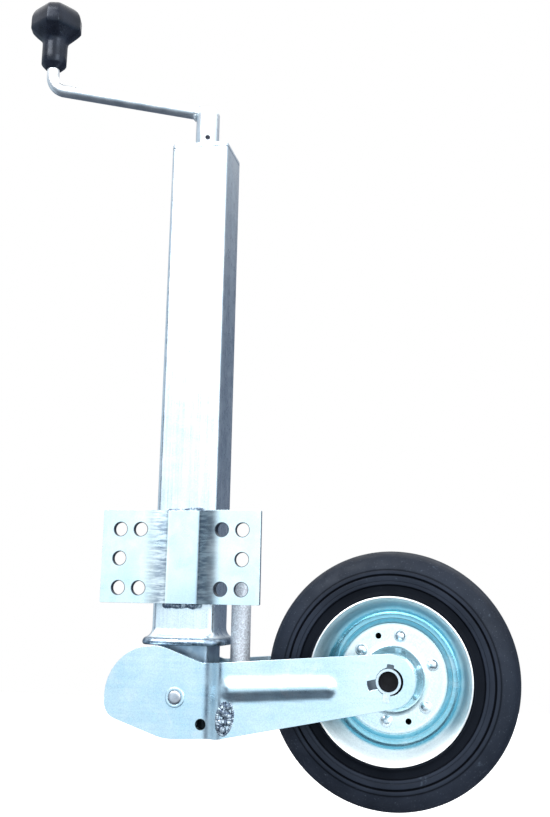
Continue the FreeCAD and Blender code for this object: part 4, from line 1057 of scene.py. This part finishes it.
def drill(piece, centres, radius):
    """Round holes along Y, cut and applied so that the mesh itself is open."""
    cutter_mesh = bpy.data.meshes.new("cutter")
    work = bmesh.new()
    for centre in centres:
        turn = Matrix.Translation(centre) @ Matrix.Rotation(math.radians(90), 4, "X")
        bmesh.ops.create_cone(work, cap_ends=True, segments=24, radius1=radius, radius2=radius,
                              depth=50 * MM, matrix=turn)
    work.to_mesh(cutter_mesh)
    work.free()
    cutter = bpy.data.objects.new("cutter", cutter_mesh)
    bpy.context.scene.collection.objects.link(cutter)
    cutting = piece.modifiers.new("drill", "BOOLEAN")
    cutting.operation = "DIFFERENCE"
    cutting.object = cutter
    cutting.solver = "EXACT"
    graph = bpy.context.evaluated_depsgraph_get()
    result = bpy.data.meshes.new_from_object(piece.evaluated_get(graph))
    piece.modifiers.clear()
    piece.data = result
    bpy.data.objects.remove(cutter)


def make_rivets():
    """Domed rivet heads on thin flat rings, both sides."""
    parts = []
    rng = random.Random(8)
    dome_radius, dome_height, thin = 4.9, 2.7, 0.02
    for turn in range(6):
        centre = around_axle(20 + 60 * turn, RIVET_CIRCLE)
        for side in (-1, 1):
            size = 1 + rng.uniform(-0.05, 0.05)
            outline = [(thin, 6.3), (5.9, 6.3), (5.9, 6.75), (5.6, 6.95)]
            for step in range(9):
                bow = math.radians(90) * step / 8
                outline.append((max(thin, dome_radius * size * math.cos(bow)),
                                6.9 + dome_height * math.sin(bow)))
            profile = [(reach * MM, side * y * MM) for reach, y in outline]
            parts.append(spin(profile, centre, "Y", 28))
    add_piece("rim_rivet_heads", merged(parts), ("rim_rivets",), 50)


# ---------------------------------------------------------------- stage, light, camera

def make_stage():
    """Floor just under the wheel's place when the jack is wound right out, fork down."""
    travel = JOINTS["inner_slide"]["range_m"][1]
    gap = 5 * MM
    level = PIVOT.z - travel - (AXLE.x - PIVOT.x) - TYRE_RADIUS - gap
    mesh = bpy.data.meshes.new("floor")
    size = 6.0
    mesh.from_pydata([(-size, -size, level), (size, -size, level), (size, size, level),
                      (-size, size, level)], [], [(0, 1, 2, 3)])
    floor = bpy.data.objects.new("floor", mesh)
    bpy.context.scene.collection.objects.link(floor)
    pale = bpy.data.materials.new("pale_floor")
    pale.use_nodes = True
    surface = pale.node_tree.nodes["Principled BSDF"].inputs
    surface["Base Color"].default_value = (0.94, 0.94, 0.94, 1)
    surface["Roughness"].default_value = 0.9
    surface["Specular IOR Level"].default_value = 0.1
    surface["Emission Color"].default_value = (1, 1, 1, 1)
    surface["Emission Strength"].default_value = 0.55
    mesh.materials.append(pale)
    floor.visible_glossy = False


def make_world():
    """Plain white behind the object. For light and reflections, a soft dome whose colours
    go by direction and are set for the photograph's viewpoint."""
    world = bpy.data.worlds.new("studio")
    bpy.context.scene.world = world
    world.use_nodes = True
    world.node_tree.nodes.clear()
    w = Tree(world.node_tree)
    place = w.node("ShaderNodeTexCoord").outputs["Generated"]

    def facing(direction, low, high):
        """1 towards a direction and 0 away from it, with a soft edge."""
        dot = w.node("ShaderNodeVectorMath", operation="DOT_PRODUCT")
        w.link(place, dot.inputs[0])
        dot.inputs[1].default_value = Vector(direction).normalized()
        edge = w.node("ShaderNodeMapRange", interpolation_type="SMOOTHSTEP")
        edge.inputs["From Min"].default_value = low
        edge.inputs["From Max"].default_value = high
        w.link(dot.outputs["Value"], edge.inputs["Value"])
        return edge.outputs["Result"]

    front, up, down = (0.57, -0.80, 0.12), (0, 0, 1), (0, 0, -1)
    window = facing(front, 0.12, 0.55)
    rising = w.node("ShaderNodeMath", operation="MULTIPLY")
    w.link(window, rising.inputs[0])
    w.link(facing(up, -0.12, 0.26), rising.inputs[1])
    colour = w.mix(facing((-0.99, 0.12, 0), 0.80, 0.97), (0.10, 0.125, 0.17), (0.46, 0.56, 0.64))
    for factor, tint in ((window, (0.50, 0.70, 0.84)),
                         (facing(front, 0.58, 0.76), (0.84, 0.95, 1.0)),
                         (rising.outputs["Value"], (1.0, 1.04, 1.06)),
                         (facing(up, 0.25, 0.75), (1.2, 1.2, 1.2)),
                         (facing(down, 0.22, 0.62), (0.07, 0.085, 0.11))):
        colour = w.mix(factor, colour, tint)
    dome = w.node("ShaderNodeBackground")
    dome.inputs["Strength"].default_value = 1.35
    w.link(colour, dome.inputs["Color"])
    white = w.node("ShaderNodeBackground")
    w.feed(white.inputs["Color"], (1, 1, 1))
    choose = w.node("ShaderNodeMixShader")
    seen = w.node("ShaderNodeLightPath").outputs["Is Camera Ray"]
    for index, source in enumerate((seen, dome.outputs[0], white.outputs[0])):
        w.link(source, choose.inputs[index])
    w.link(choose.outputs[0], w.node("ShaderNodeOutputWorld").inputs["Surface"])


def area_light(name, place, target, size, power, colour=(1, 1, 1)):
    light = bpy.data.lights.new(name, "AREA")
    light.shape = "RECTANGLE"
    light.size, light.size_y = size
    light.energy = power
    light.color = colour
    lamp = bpy.data.objects.new(name, light)
    lamp.location = place
    lamp.rotation_euler = (Vector(target) - Vector(place)).to_track_quat("-Z", "Y").to_euler()
    bpy.context.scene.collection.objects.link(lamp)


def make_lights():
    middle = (0.05, 0.0, 0.2)
    area_light("key", (-0.9, -1.6, 1.9), middle, (1.4, 1.4), 60)
    area_light("fill", (1.5, -1.4, 0.9), middle, (1.2, 1.2), 24, (0.92, 0.96, 1.0))


def make_camera():
    lens = bpy.data.cameras.new("camera")
    lens.lens = CAMERA_LENS
    lens.sensor_width = 36
    lens.shift_x, lens.shift_y = CAMERA_SHIFT
    lens.clip_start, lens.clip_end = 0.01, 50
    camera = bpy.data.objects.new("camera", lens)
    camera.location = CAMERA_PLACE
    camera.rotation_euler = [math.radians(angle) for angle in CAMERA_TURN]
    bpy.context.scene.collection.objects.link(camera)
    bpy.context.scene.camera = camera


def finish_cad_nodes():
    """Every carried-over CAD node gets its slot's material; the inner tube gets its own darker zinc
    with painted shade.
    """
    inner_tube = inner_zinc("zinc_inner_shaded")
    for name, node in frame["nodes"].items():
        for holder in node.material_slots:
            holder.material = inner_tube if name == "inner_tube" else FINISH[SLOT_OF[name]]


FINISH = make_finishes()
finish_cad_nodes()
for make in (make_tube, make_cap, make_collar, make_plate, make_plate_welds, make_rod,
             make_crank_weld, make_fork_plates, make_plug_welds, make_pivot, make_tyre,
             make_rims, make_rivets, make_knob):
    make()
for plain in ("axle_tube", "axle_key_upper", "axle_key_side", "axle_key_lower", "fold_stop"):
    soften(frame["nodes"][plain], 0.4 * MM, 35)
for make in (make_stage, make_world, make_lights, make_camera):
    make()
bpy.context.scene.view_settings.view_transform = "Standard"
